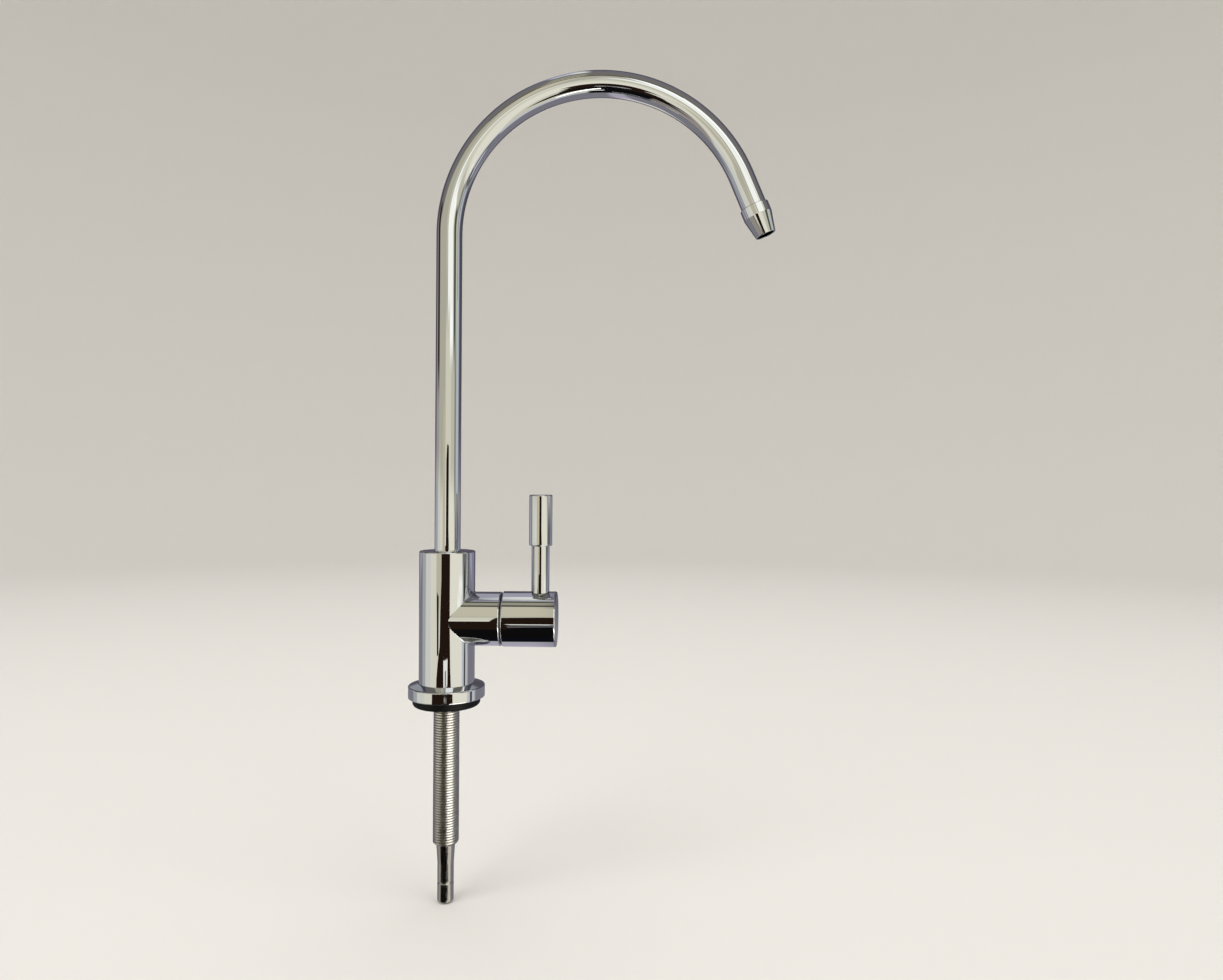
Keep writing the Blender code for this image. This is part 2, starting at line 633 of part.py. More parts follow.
def build_tip(shop, tube_end):
    """The conical tip, turned about the tube's straight end."""
    length = TIP_BAND_LENGTH + TIP_CONE_LENGTH
    top = TIP_DIAMETER / 2
    mouth = TIP_MOUTH_DIAMETER / 2
    bore = TUBE_RADIUS - TUBE_WALL
    socket = TUBE_RADIUS + TIP_SOCKET_GAP
    socket_foot = length - TIP_SOCKET_DEPTH - SEAT_GAP
    inner_mouth = mouth - TIP_MOUTH_WALL
    profile = round_off(top - TIP_EDGE_ROUND, length - TIP_EDGE_ROUND, TIP_EDGE_ROUND, 90, 0)
    profile += [(top, TIP_CONE_LENGTH), (mouth, 0), (inner_mouth, 0),
                (bore, socket_foot - TIP_SOCKET_DEPTH / 4), (bore, socket_foot),
                (socket, socket_foot), (socket, length)]
    tip = turned("spout_tip", profile, BORE_STEPS, ring=True)
    tip.rotation_mode = "QUATERNION"
    tip.rotation_quaternion = (-tail_direction()).to_track_quat("Z", "Y")
    tip.location = tube_end + tail_direction() * (socket_foot + SEAT_GAP)
    shop.add(tip, "chrome", shop.spout_axis)


def build_ferrule(shop):
    """The turned ferrule that carries the spout, with its seals and its snap ring."""
    spigot = TUBE_RADIUS - TUBE_WALL - RUNNING_GAP
    spigot_top = FERRULE_TOP + FERRULE_SPIGOT_LENGTH
    clip_floor = TUBE_RADIUS - CLIP_BITE
    profile = [(spigot, spigot_top), (spigot, FERRULE_TOP), (TUBE_RADIUS, FERRULE_TOP)]
    for foot, width, floor in ((CLIP_GROOVE_FOOT, CLIP_GROOVE, clip_floor),
                               (UPPER_SEAL_GROOVE, FERRULE_SEAL_GROOVE, SEAL_GROOVE_RADIUS),
                               (LOWER_SEAL_GROOVE, FERRULE_SEAL_GROOVE, SEAL_GROOVE_RADIUS)):
        profile += [(TUBE_RADIUS, foot + width), (floor, foot + width),
                    (floor, foot), (TUBE_RADIUS, foot)]
    profile += [(TUBE_RADIUS, FERRULE_BOTTOM), (FERRULE_BORE_RADIUS, FERRULE_BOTTOM),
                (FERRULE_BORE_RADIUS, spigot_top)]
    shop.add(turned("spout_ferrule", profile, BORE_STEPS, ring=True), "brass", shop.spout_axis)

    ring_radius = SOCKET_RADIUS - SEAL_GAP - FERRULE_SEAL_SECTION / 2
    for name, foot in (("spout_seal_lower", LOWER_SEAL_GROOVE), ("spout_seal_upper", UPPER_SEAL_GROOVE)):
        shop.add(seal_ring(name, ring_radius, FERRULE_SEAL_SECTION, foot + FERRULE_SEAL_GROOVE / 2),
                 "rubber", shop.spout_axis)

    clip = plate("spout_clip", [split_ring(CLIP_INNER, CLIP_OUTER, CLIP_OPENING)], 0, CLIP_THICKNESS)
    clip.rotation_euler = (0, 0, 0)
    clip.location = (0, 0, CLIP_GROOVE_FOOT + CLIP_GROOVE / 2)
    shop.add(clip, "steel", shop.spout_axis)

    washer = ring_profile(TUBE_RADIUS - THRUST_WASHER_WIDTH, TUBE_RADIUS,
                          THRUST_WASHER_FOOT, THRUST_WASHER_FOOT + THRUST_WASHER_THICKNESS)
    shop.add(turned("spout_thrust_washer", washer, BORE_STEPS, ring=True), "nylon")


def disc_ports(name, middle, foot, top):
    """Return a cutter for two opposite sector ports in a ceramic disc."""
    outer = DISC_RADIUS - DISC_PORT_RIM
    outlines = [sector(DISC_PORT_INNER, outer, middle + side, DISC_PORT_SPREAD) for side in (0, math.pi)]
    return plate(name, outlines, foot - OVERRUN, top + OVERRUN)


def build_cartridge(shop):
    """The fixed pieces of the quarter-turn valve in the side arm."""
    seal = ring_profile(DISC_RADIUS - SEAT_SEAL_WIDTH, DISC_RADIUS, SEAT_SEAL_FOOT, SEAT_SEAL_TOP)
    shop.add(turned("seat_seal", seal, BORE_STEPS, ring=True, along_x=True), "rubber")

    fixed = [(0, FIXED_DISC_TOP), (DISC_RADIUS, FIXED_DISC_TOP),
             (DISC_RADIUS, FIXED_DISC_FOOT), (0, FIXED_DISC_FOOT)]
    disc = shop.add(turned("fixed_disc", fixed, BORE_STEPS, along_x=True), "ceramic")
    cut(shop, disc, disc_ports("fixed_ports_cut", 0, FIXED_DISC_FOOT, FIXED_DISC_TOP))

    neck = GUIDE_RADIUS + HOUSING_NECK_WALL
    outer = [(0, NECK_TOP), (neck, NECK_TOP), (neck, HEX_FOOT), (FLANGE_RADIUS, HEX_FOOT),
             (FLANGE_RADIUS, FLANGE_UNDERSIDE), (THREAD_RADIUS, FLANGE_UNDERSIDE),
             (THREAD_RADIUS, HOUSING_GROOVE_TOP), (HOUSING_GROOVE_RADIUS, HOUSING_GROOVE_TOP),
             (HOUSING_GROOVE_RADIUS, HOUSING_GROOVE_FOOT), (THREAD_RADIUS, HOUSING_GROOVE_FOOT),
             (THREAD_RADIUS, HOUSING_SHOULDER), (WAIST_RADIUS, HOUSING_SHOULDER),
             (WAIST_RADIUS, HOUSING_FOOT), (0, HOUSING_FOOT)]
    housing = shop.add(turned("cartridge_housing", outer, BORE_STEPS, along_x=True), "brass")
    hexagon = cylinder("housing_hexagon", FLANGE_RADIUS - HOUSING_HEX_STEP,
                       (HEX_FOOT - HOUSING_FLANGE / 2, 0, ARM_HEIGHT), (HEX_TOP, 0, ARM_HEIGHT), 6)
    join(shop, housing, hexagon)
    inner = [(0, NECK_TOP + OVERRUN), (GUIDE_RADIUS, NECK_TOP + OVERRUN),
             (GUIDE_RADIUS, HOUSING_SHOULDER), (CAVITY_RADIUS, HOUSING_SHOULDER),
             (CAVITY_RADIUS, HOUSING_FOOT - OVERRUN), (0, HOUSING_FOOT - OVERRUN)]
    window = HOUSING_WINDOW_WIDTH / 2
    cut(shop, housing,
        turned("housing_bore_cut", inner, BORE_STEPS, along_x=True),
        box("housing_window_cut", (BAR_FOOT, -window, ARM_HEIGHT - CHAMBER_RADIUS),
            (COLLAR_TOP, window, ARM_HEIGHT + CHAMBER_RADIUS)))

    shop.add(seal_ring("housing_seal", CHAMBER_RADIUS - SEAL_GAP - HOUSING_SEAL_SECTION / 2,
                       HOUSING_SEAL_SECTION, (HOUSING_GROOVE_FOOT + HOUSING_GROOVE_TOP) / 2,
                       along_x=True), "rubber")

    washer = ring_profile(GUIDE_RADIUS, DISC_RADIUS,
                          FRICTION_WASHER_TOP - FRICTION_WASHER_THICKNESS, FRICTION_WASHER_TOP)
    shop.add(turned("friction_washer", washer, BORE_STEPS, ring=True, along_x=True), "nylon")

    glide_foot = ARM_LENGTH - GLIDE_RING_RECESS + GLIDE_RING_PLAY
    glide = ring_profile(GLIDE_RING_INNER, GLIDE_RING_OUTER,
                         glide_foot, BARREL_START - GLIDE_RING_PLAY)
    shop.add(turned("handle_glide_ring", glide, BORE_STEPS, ring=True, along_x=True), "nylon")


def build_spindle(shop):
    """The spindle with its drive bar and spline, the moving disc, the seals and the circlip."""
    carrier = shop.handle_axis
    moving = [(0, MOVING_DISC_TOP), (DISC_RADIUS, MOVING_DISC_TOP),
              (DISC_RADIUS, MOVING_DISC_FOOT), (0, MOVING_DISC_FOOT)]
    disc = shop.add(turned("moving_disc", moving, BORE_STEPS, along_x=True), "ceramic", carrier)
    slot_floor = MOVING_DISC_TOP - DRIVE_SLOT_DEPTH
    slot = DRIVE_SLOT_WIDTH / 2
    cut(shop, disc,
        disc_ports("moving_ports_cut", math.pi / 2, MOVING_DISC_FOOT, MOVING_DISC_TOP),
        box("drive_slot_cut", (slot_floor, -slot, ARM_HEIGHT - CHAMBER_RADIUS),
            (MOVING_DISC_TOP + OVERRUN, slot, ARM_HEIGHT + CHAMBER_RADIUS)))

    groove_floor = SPINDLE_RADIUS - CIRCLIP_BITE
    profile = [(0, SPLINE_FOOT), (SPINDLE_RADIUS, SPLINE_FOOT)]
    for foot, width, floor in ((CIRCLIP_GROOVE_FOOT, CIRCLIP_GROOVE, groove_floor),
                               (SECOND_SPINDLE_GROOVE, SPINDLE_SEAL_GROOVE, SPINDLE_GROOVE_RADIUS),
                               (FIRST_SPINDLE_GROOVE, SPINDLE_SEAL_GROOVE, SPINDLE_GROOVE_RADIUS)):
        profile += [(SPINDLE_RADIUS, foot + width), (floor, foot + width),
                    (floor, foot), (SPINDLE_RADIUS, foot)]
    collar = DISC_RADIUS - SEAT_GAP
    profile += [(SPINDLE_RADIUS, COLLAR_TOP), (collar, COLLAR_TOP), (collar, BAR_TOP), (0, BAR_TOP)]
    spindle = shop.add(turned("spindle", profile, BORE_STEPS, along_x=True), "brass", carrier)

    bar = DRIVE_BAR_WIDTH / 2
    tongue = slot - SEAT_GAP
    reach = math.sqrt(collar ** 2 - bar ** 2)
    spline = plate("spindle_spline", [spline_outline(SPLINE_TIP, SPLINE_ROOT)],
                   SPLINE_FOOT - CIRCLIP_THICKNESS / 2, SPINDLE_END)
    join(shop, spindle,
         box("spindle_bar", (BAR_FOOT, -bar, ARM_HEIGHT - reach),
             (BAR_TOP + COLLAR_THICKNESS / 2, bar, ARM_HEIGHT + reach)),
         box("spindle_tongue", (slot_floor + SEAT_GAP, -tongue, ARM_HEIGHT - reach + SEAT_GAP),
             (BAR_FOOT + DRIVE_BAR_THICKNESS / 2, tongue, ARM_HEIGHT + reach - SEAT_GAP)),
         spline)
    waist = ring_profile(WAIST_FLOOR, SPINDLE_RADIUS + OVERRUN,
                         LEVER_X - LEVER_WAIST_WIDTH / 2, LEVER_X + LEVER_WAIST_WIDTH / 2)
    cut(shop, spindle, turned("spindle_waist_cut", waist, BORE_STEPS, ring=True, along_x=True))

    ring_radius = GUIDE_RADIUS - SEAL_GAP - SPINDLE_SEAL_SECTION / 2
    for name, foot in (("spindle_seal_inner", FIRST_SPINDLE_GROOVE),
                       ("spindle_seal_outer", SECOND_SPINDLE_GROOVE)):
        shop.add(seal_ring(name, ring_radius, SPINDLE_SEAL_SECTION, foot + SPINDLE_SEAL_GROOVE / 2,
                           along_x=True), "rubber", carrier)

    middle = CIRCLIP_GROOVE_FOOT + CIRCLIP_GROOVE / 2
    ring = split_ring(CIRCLIP_INNER, CIRCLIP_INNER + CIRCLIP_WIDTH, CLIP_OPENING)
    shop.add(plate("spindle_circlip", [ring], middle - CIRCLIP_THICKNESS / 2,
                   middle + CIRCLIP_THICKNESS / 2), "steel", carrier)


def build_handle(shop):
    """The barrel with its splined hub and lever boss, and the lever screwed into it."""
    carrier = shop.handle_axis
    shell = [(0, BARREL_END), (ARM_RADIUS - BARREL_RIM_CHAMFER, BARREL_END),
             (ARM_RADIUS, BARREL_END - BARREL_RIM_CHAMFER),
             (ARM_RADIUS, BARREL_START + BARREL_MOUTH_CHAMFER),
             (ARM_RADIUS - BARREL_MOUTH_CHAMFER, BARREL_START), (BARREL_BORE, BARREL_START),
             (BARREL_BORE, BARREL_CAVITY_END), (HUB_RADIUS, BARREL_CAVITY_END),
             (HUB_RADIUS, HUB_START), (0, HUB_START)]
    barrel = shop.add(turned("handle_barrel", shell, WIDE_STEPS, along_x=True), "chrome", carrier)

    hub_inside = ARM_HEIGHT + (SPINDLE_RADIUS + HUB_RADIUS) / 2
    wall_inside = ARM_HEIGHT + (BARREL_BORE + LEVER_SEAT) / 2
    boss = LEVER_HOLE_RADIUS + LEVER_BOSS_WALL
    join(shop, barrel, cylinder("lever_boss", boss, (LEVER_X, 0, hub_inside),
                                (LEVER_X, 0, wall_inside), SMALL_STEPS))
    spline = spline_outline(SPLINE_TIP + RUNNING_GAP, SPLINE_ROOT + RUNNING_GAP)
    above = ARM_HEIGHT + ARM_RADIUS + OVERRUN
    seat = ARM_HEIGHT + LEVER_SEAT
    hole = [(0, above), (LEVER_SEAT_RADIUS, above), (LEVER_SEAT_RADIUS, seat),
            (LEVER_HOLE_RADIUS, seat), (LEVER_HOLE_RADIUS, ARM_HEIGHT), (0, ARM_HEIGHT)]
    lever_hole = turned("lever_hole_cut", hole, SMALL_STEPS)
    lever_hole.location = (LEVER_X, 0, 0)
    cut(shop, barrel,
        plate("hub_spline_cut", [spline], HUB_START - OVERRUN, SPLINE_BORE_END),
        lever_hole)

    grip = GRIP_DIAMETER / 2
    rod = LEVER_ROD_DIAMETER / 2
    grip_foot = LEVER_TOP - GRIP_LENGTH
    screw_tip = ARM_HEIGHT + WAIST_FLOOR + SEAT_GAP
    rod_foot = seat + RUNNING_GAP
    profile = [(0, LEVER_TOP)]
    profile += round_off(grip - GRIP_TOP_ROUND, LEVER_TOP - GRIP_TOP_ROUND, GRIP_TOP_ROUND, 90, 0)
    profile += round_off(grip - GRIP_LOWER_ROUND, grip_foot + GRIP_LOWER_ROUND, GRIP_LOWER_ROUND,
                         0, -80)
    profile += [(rod, grip_foot), (rod, rod_foot), (LEVER_SCREW_RADIUS, rod_foot),
                (LEVER_SCREW_RADIUS, screw_tip), (0, screw_tip)]
    lever = turned("lever", profile, BORE_STEPS)
    lever.location = (LEVER_X, 0, 0)
    shop.add(lever, "chrome", carrier)


def main():
    """Build the faucet."""
    clear_scene()
    shop = Shop()
    build_body(shop)
    build_base(shop)
    build_shank(shop)
    build_spout(shop)
    build_cartridge(shop)
    build_spindle(shop)
    build_handle(shop)


main()
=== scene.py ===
"""Dressed model of a deck-mounted drinking water faucet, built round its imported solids.

Metres, +Z up, as in the frame. Every finished piece's object sits at the origin with its place in
its mesh. Sizes that a node's box gives come from the frame, and the rest are fields in millimetres.
"""

import json
import logging
import math
from dataclasses import dataclass, field
from enum import Enum

import bmesh
import bpy
import numpy as np
from mathutils import Matrix, Vector


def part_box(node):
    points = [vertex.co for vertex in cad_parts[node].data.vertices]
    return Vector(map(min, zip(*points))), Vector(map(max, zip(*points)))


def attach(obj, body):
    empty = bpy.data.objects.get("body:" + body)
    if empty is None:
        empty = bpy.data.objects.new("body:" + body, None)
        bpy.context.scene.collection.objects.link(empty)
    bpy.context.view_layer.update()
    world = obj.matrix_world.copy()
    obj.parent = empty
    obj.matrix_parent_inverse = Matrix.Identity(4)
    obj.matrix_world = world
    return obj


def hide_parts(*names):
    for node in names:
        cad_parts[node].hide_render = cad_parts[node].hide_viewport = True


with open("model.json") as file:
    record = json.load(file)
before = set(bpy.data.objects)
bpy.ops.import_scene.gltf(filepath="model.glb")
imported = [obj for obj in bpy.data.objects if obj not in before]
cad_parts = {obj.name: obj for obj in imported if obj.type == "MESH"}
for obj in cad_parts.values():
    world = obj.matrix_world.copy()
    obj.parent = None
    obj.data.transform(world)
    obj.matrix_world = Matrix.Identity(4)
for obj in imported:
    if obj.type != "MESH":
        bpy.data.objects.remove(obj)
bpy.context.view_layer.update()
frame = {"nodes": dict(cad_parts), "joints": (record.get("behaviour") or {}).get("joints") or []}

MM = 0.001
HOLD = 0.12 * MM  # from a rounding to the point that keeps the face beside it flat
MERGE = 1e-6  # points closer than this are welded, in metres
ROOM_SHARE = 0.49  # of a straight stretch, for the rounding at one of its ends
NOISE_RANGE = (0.3, 0.7)  # where most values of a noise texture lie
GLOW = 1.42  # strength of the light tent's cloths and cards
UP = Vector((0, 0, 1))
ACROSS = Vector((1, 0, 0))
LOG = logging.getLogger("faucet")


class Body(Enum):
    """The moving bodies of the frame."""

    FIXED = "fixed"
    SPOUT = "spout"
    HANDLE = "handle"


class Operation(Enum):
    """What a Boolean does with its tool."""

    JOIN = "UNION"
    CUT = "DIFFERENCE"


class Grain(Enum):
    """The axis round which a piece was turned on the lathe, as a stretch of its pattern."""

    ALONG_X = (1.0, 0.02, 0.02)
    ALONG_Z = (0.02, 0.02, 1.0)


@dataclass(frozen=True)
class Extent:
    """The box of one CAD node at rest, in metres."""

    low: Vector
    high: Vector

    @classmethod
    def of(cls, node: str) -> "Extent":
        """Read a node's box from the frame."""
        return cls(*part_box(node))

    @property
    def middle(self) -> Vector:
        """Return the centre of the box."""
        return (self.low + self.high) / 2


def joint_place(name: str) -> Vector:
    """Return the point on a joint's axis that the record gives, in metres."""
    return next(Vector(joint["pos_m"]) for joint in frame["joints"] if joint["name"] == name)


def linear(colour: str) -> tuple[float, float, float, float]:
    """Turn an sRGB hex colour into linear RGBA.

    Args:
        colour: six hex digits after a hash sign.

    Returns:
        Red, green, blue and alpha, each from 0 to 1.
    """
    shares = (int(colour[i:i + 2], 16) / 255 for i in (1, 3, 5))
    return (*(c / 12.92 if c <= 0.04045 else ((c + 0.055) / 1.055) ** 2.4 for c in shares), 1.0)


def add_node(tree: bpy.types.NodeTree, kind: str, inputs: dict[str | int, object] | None = None,
             **settings: object) -> bpy.types.Node:
    """Add a node with its settings and links.

    Args:
        tree: a shader or geometry node tree.
        kind: the node's type name.
        inputs: input sockets by name or index, each with a value or the output that feeds it.
        settings: attributes of the node, set before its inputs.

    Returns:
        The new node.
    """
    node = tree.nodes.new(kind)
    for key, value in settings.items():
        setattr(node, key, value)
    for key, value in (inputs or {}).items():
        if isinstance(value, bpy.types.NodeSocket):
            tree.links.new(value, node.inputs[key])
        else:
            node.inputs[key].default_value = value
    return node


@dataclass(frozen=True)
class Finish:
    """A surface finish: what it is called, the record's slot, and its plain values.

    The roughness drifts between the two shares of drift, in patches as wide as smudge, in
    millimetres.
    """

    name: str
    slot: str
    colour: str
    metallic: float
    roughness: float
    smudge: float = 5.0
    drift: tuple[float, float] = (0.85, 1.2)

    def build(self) -> bpy.types.Material:
        """Make the material.

        Returns:
            A new material with this finish's pattern.
        """
        material = bpy.data.materials.new(self.name)
        material.use_nodes = True
        tree = material.node_tree
        shader = tree.nodes["Principled BSDF"]
        shader.inputs["Base Color"].default_value = linear(self.colour)
        shader.inputs["Metallic"].default_value = self.metallic
        shader.inputs["Roughness"].default_value = self.roughness
        place = add_node(tree, "ShaderNodeTexCoord").outputs["Object"]
        self.pattern(tree, shader, place)
        return material

    def pattern(self, tree: bpy.types.NodeTree, shader: bpy.types.Node,
                place: bpy.types.NodeSocket) -> None:
        """Add the finish's own pattern to its material.

        Args:
            tree: the material's node tree.
            shader: its Principled BSDF.
            place: Object coordinates, in metres.
        """
        raise NotImplementedError

    def gloss(self, tree: bpy.types.NodeTree, place: bpy.types.NodeSocket) -> bpy.types.NodeSocket:
        """Return the roughness with its drift over the surface.

        Args:
            tree: the material's node tree.
            place: the coordinates of the pattern.

        Returns:
            The socket that carries the roughness.
        """
        cloud = add_node(tree, "ShaderNodeTexNoise",
                         {"Vector": place, "Scale": 1 / (self.smudge * MM), "Detail": 3.0})
        low, high = (self.roughness * share for share in self.drift)
        return add_node(tree, "ShaderNodeMapRange",
                        {"Value": cloud.outputs[0], "From Min": NOISE_RANGE[0],
                         "From Max": NOISE_RANGE[1], "To Min": low, "To Max": high}).outputs[0]

    @staticmethod
    def relief(tree: bpy.types.NodeTree, place: bpy.types.NodeSocket, size: float, depth: float,
               under: bpy.types.NodeSocket | None = None) -> bpy.types.NodeSocket:
        """Return a normal bent by a noise of one size and depth.

        Args:
            tree: the material's node tree.
            place: the coordinates of the pattern.
            size: the width of a hill, in millimetres.
            depth: the height of a hill, in millimetres.
            under: the normal of a coarser relief that this one lies on.

        Returns:
            The socket that carries the normal.
        """
        hills = add_node(tree, "ShaderNodeTexNoise",
                         {"Vector": place, "Scale": 1 / (size * MM), "Detail": 1.0})
        inputs = {"Height": hills.outputs[0], "Distance": depth * MM}
        if under is not None:
            inputs["Normal"] = under
        return add_node(tree, "ShaderNodeBump", inputs).outputs[0]


@dataclass(frozen=True)
class ChromePlate(Finish):
    """Decorative chromium over nickel on polished brass: a mirror with slow waves from the buff."""

    name: str = "chrome_plate"
    slot: str = "chrome_plated_brass"
    colour: str = "#D8DADC"
    metallic: float = 1.0
    roughness: float = 0.025
    smudge: float = 12.0
    drift: tuple[float, float] = (0.6, 1.5)
    wave: float = 9.0
    wave_depth: float = 0.007
    peel: float = 1.3
    peel_depth: float = 0.0003

    def pattern(self, tree: bpy.types.NodeTree, shader: bpy.types.Node,
                place: bpy.types.NodeSocket) -> None:
        """Add the buff's waves, the plating's fine peel and a faint drift in gloss.

        Args:
            tree: the material's node tree.
            shader: its Principled BSDF.
            place: Object coordinates, in metres.
        """
        waves = self.relief(tree, place, self.wave, self.wave_depth)
        peel = self.relief(tree, place, self.peel, self.peel_depth, waves)
        tree.links.new(peel, shader.inputs["Normal"])
        tree.links.new(self.gloss(tree, place), shader.inputs["Roughness"])


@dataclass(frozen=True)
class NickelPlate(Finish):
    """Bright nickel on a turned stem and a cut thread, with painted shade in the thread's roots.

    The turning lines are drawn several times as coarse as the tool left them, because finer ones
    don't show at the photograph's distance. Painted shade darkens the colour from root_edge of the
    root's radius down to the root, and the colour is clear again at crest_edge of the crest's.
    """

    name: str = "nickel_plate_on_thread"
    slot: str = "nickel_plated_brass"
    colour: str = "#D2D0CA"
    metallic: float = 1.0
    roughness: float = 0.3
    # painted shade: the colour in the thread's roots, darker than the plating
    painted_root_shade: str = "#ACA9A2"
    root_radius: float = 4.58
    root_edge: float = 0.93
    crest_radius: float = 5.0
    crest_edge: float = 0.985
    stem_radius: float = 3.3
    stem_gloss: float = 0.4
    line: float = 0.8
    line_depth: float = 0.0006

    def pattern(self, tree: bpy.types.NodeTree, shader: bpy.types.Node,
                place: bpy.types.NodeSocket) -> None:
        """Paint shade into the thread's roots and polish the stem, both by their distance from the
        axis.

        Args:
            tree: the material's node tree.
            shader: its Principled BSDF.
            place: Object coordinates, in metres.
        """
        flat = add_node(tree, "ShaderNodeVectorMath", {0: place, 1: (1, 1, 0)}, operation="MULTIPLY")
        radius = add_node(tree, "ShaderNodeVectorMath", {0: flat.outputs[0]}, operation="LENGTH")
        share = add_node(tree, "ShaderNodeMapRange",
                         {"Value": radius.outputs["Value"], "From Min": 0.0,
                          "From Max": self.crest_radius * MM})
        # painted shade: darker towards the thread's roots, clear again at the crests
        ramp = add_node(tree, "ShaderNodeValToRGB", {0: share.outputs[0]})
        root = self.root_radius / self.crest_radius
        stops = ((0.0, self.colour), (self.root_edge * root, self.colour),
                 (root, self.painted_root_shade), (self.crest_edge, self.colour))
        while len(ramp.color_ramp.elements) < len(stops):
            ramp.color_ramp.elements.new(0.5)
        for stop, (position, colour) in zip(ramp.color_ramp.elements, stops):
            stop.position = position
            stop.color = linear(colour)
        tree.links.new(ramp.outputs[0], shader.inputs["Base Color"])
        lines = add_node(tree, "ShaderNodeMapping", {"Vector": place, "Scale": Grain.ALONG_Z.value})
        normal = self.relief(tree, lines.outputs[0], self.line, self.line_depth)
        polish = add_node(tree, "ShaderNodeMapRange",
                          {"Value": radius.outputs["Value"], "From Min": self.stem_radius * MM,
                           "From Max": self.root_radius * MM, "To Min": self.stem_gloss,
                           "To Max": 1.0})
        satin = add_node(tree, "ShaderNodeMath",
                         {0: self.gloss(tree, place), 1: polish.outputs[0]}, operation="MULTIPLY")
        tree.links.new(normal, shader.inputs["Normal"])
        tree.links.new(satin.outputs[0], shader.inputs["Roughness"])


@dataclass(frozen=True)
class TurnedMetal(Finish):
    """Metal straight from the lathe or the press: fine rings round its axis catch the light.

    The rings are drawn a few times as coarse as the tool's feed, because finer ones don't show.
    """

    drift: tuple[float, float] = (0.8, 1.3)
    grain: Grain = Grain.ALONG_X
    line: float = 0.3
    line_depth: float = 0.003

    def pattern(self, tree: bpy.types.NodeTree, shader: bpy.types.Node,
                place: bpy.types.NodeSocket) -> None:
        """Add turning lines round the axis and a drift in gloss from handling.

        Args:
            tree: the material's node tree.
            shader: its Principled BSDF.
            place: Object coordinates, in metres.
        """
        lines = add_node(tree, "ShaderNodeMapping", {"Vector": place, "Scale": self.grain.value})
        normal = self.relief(tree, lines.outputs[0], self.line, self.line_depth)
        tree.links.new(normal, shader.inputs["Normal"])
        tree.links.new(self.gloss(tree, place), shader.inputs["Roughness"])


@dataclass(frozen=True)
class Moulded(Finish):
    """Moulded rubber, moulded nylon or lapped ceramic: an even body with a fine surface grain.

    The grain is drawn coarser than a mould's or a lap's, because a finer one doesn't show.
    """

    smudge: float = 6.0
    grit: float = 0.35
    grit_depth: float = 0.006
    specular: float = 0.5

    def pattern(self, tree: bpy.types.NodeTree, shader: bpy.types.Node,
                place: bpy.types.NodeSocket) -> None:
        """Add the grain of the mould and a slow drift in gloss.

        Args:
            tree: the material's node tree.
            shader: its Principled BSDF.
            place: Object coordinates, in metres.
        """
        shader.inputs["Specular IOR Level"].default_value = self.specular
        normal = self.relief(tree, place, self.grit, self.grit_depth)
        tree.links.new(normal, shader.inputs["Normal"])
        tree.links.new(self.gloss(tree, place), shader.inputs["Roughness"])


@dataclass
class Palette:
    """One material of each finish, shared by the pieces."""

    chrome: bpy.types.Material = field(default_factory=lambda: ChromePlate().build())
    nickel: bpy.types.Material = field(default_factory=lambda: NickelPlate().build())
    # Moulded nitrile rubber: dull black with a weak, wide sheen
    rubber: bpy.types.Material = field(default_factory=lambda: Moulded(
        "nitrile_rubber", "nitrile_rubber", "#0B0B0C", 0.0, 0.5, specular=0.2).build())
    # Moulded nylon: dark grey and a little waxy
    nylon: bpy.types.Material = field(default_factory=lambda: Moulded(
        "black_nylon", "black_nylon", "#26262A", 0.0, 0.42).build())
    # Lapped alumina: warm white with a smooth gloss
    ceramic: bpy.types.Material = field(default_factory=lambda: Moulded(
        "lapped_alumina", "alumina_ceramic", "#EFEDE6", 0.0, 0.18, grit=0.2,
        grit_depth=0.0004).build())
    # Turned brass: yellow, bright on its rings
    brass: bpy.types.Material = field(default_factory=lambda: TurnedMetal(
        "turned_brass", "plain_brass", "#D9B36C", 1.0, 0.26).build())
    # Tumbled spring steel: a soft grey shine
    steel: bpy.types.Material = field(default_factory=lambda: TurnedMetal(
        "tumbled_spring_steel", "spring_steel", "#A9AAAD", 1.0, 0.34).build())


def polyhedron(name: str, points: list[Vector], faces: list[tuple[int, ...]]) -> bpy.types.Object:
    """Make a welded mesh object whose faces point outwards.

    Args:
        name: the object's name.
        points: the vertices, in metres.
        faces: the vertex indices of each face.

    Returns:
        The new object, at the origin.
    """
    mesh = bpy.data.meshes.new(name)
    mesh.from_pydata([tuple(p) for p in points], [], faces)
    obj = bpy.data.objects.new(name, mesh)
    bpy.context.scene.collection.objects.link(obj)
    weld(obj)
    return obj


def weld(obj: bpy.types.Object) -> None:
    """Merge an object's doubled points, drop faces without area and turn its faces outwards.

    Args:
        obj: the mesh object.
    """
    work = bmesh.new()
    work.from_mesh(obj.data)
    bmesh.ops.remove_doubles(work, verts=work.verts, dist=MERGE)
    bmesh.ops.dissolve_degenerate(work, edges=work.edges, dist=MERGE / 10)
    bmesh.ops.recalc_face_normals(work, faces=work.faces)
    work.to_mesh(obj.data)
    work.free()


def shade(obj: bpy.types.Object, angle: float = 32.0) -> None:
    """Shade a mesh smooth, with its edges sharp past an angle in degrees."""
    obj.data.shade_smooth()
    obj.data.set_sharp_from_angle(angle=math.radians(angle))


def settle(obj: bpy.types.Object) -> bpy.types.Object:
    """Turn an object's evaluated shape into its plain mesh and remove its modifiers.

    Args:
        obj: a mesh or curve object with its modifiers.

    Returns:
        A mesh object of the same name.
    """
    bpy.context.view_layer.update()
    shape = obj.evaluated_get(bpy.context.evaluated_depsgraph_get())
    mesh = bpy.data.meshes.new_from_object(shape)
    name = obj.name
    bpy.data.objects.remove(obj)
    mesh.name = name
    plain = bpy.data.objects.new(name, mesh)
    bpy.context.scene.collection.objects.link(plain)
    return plain


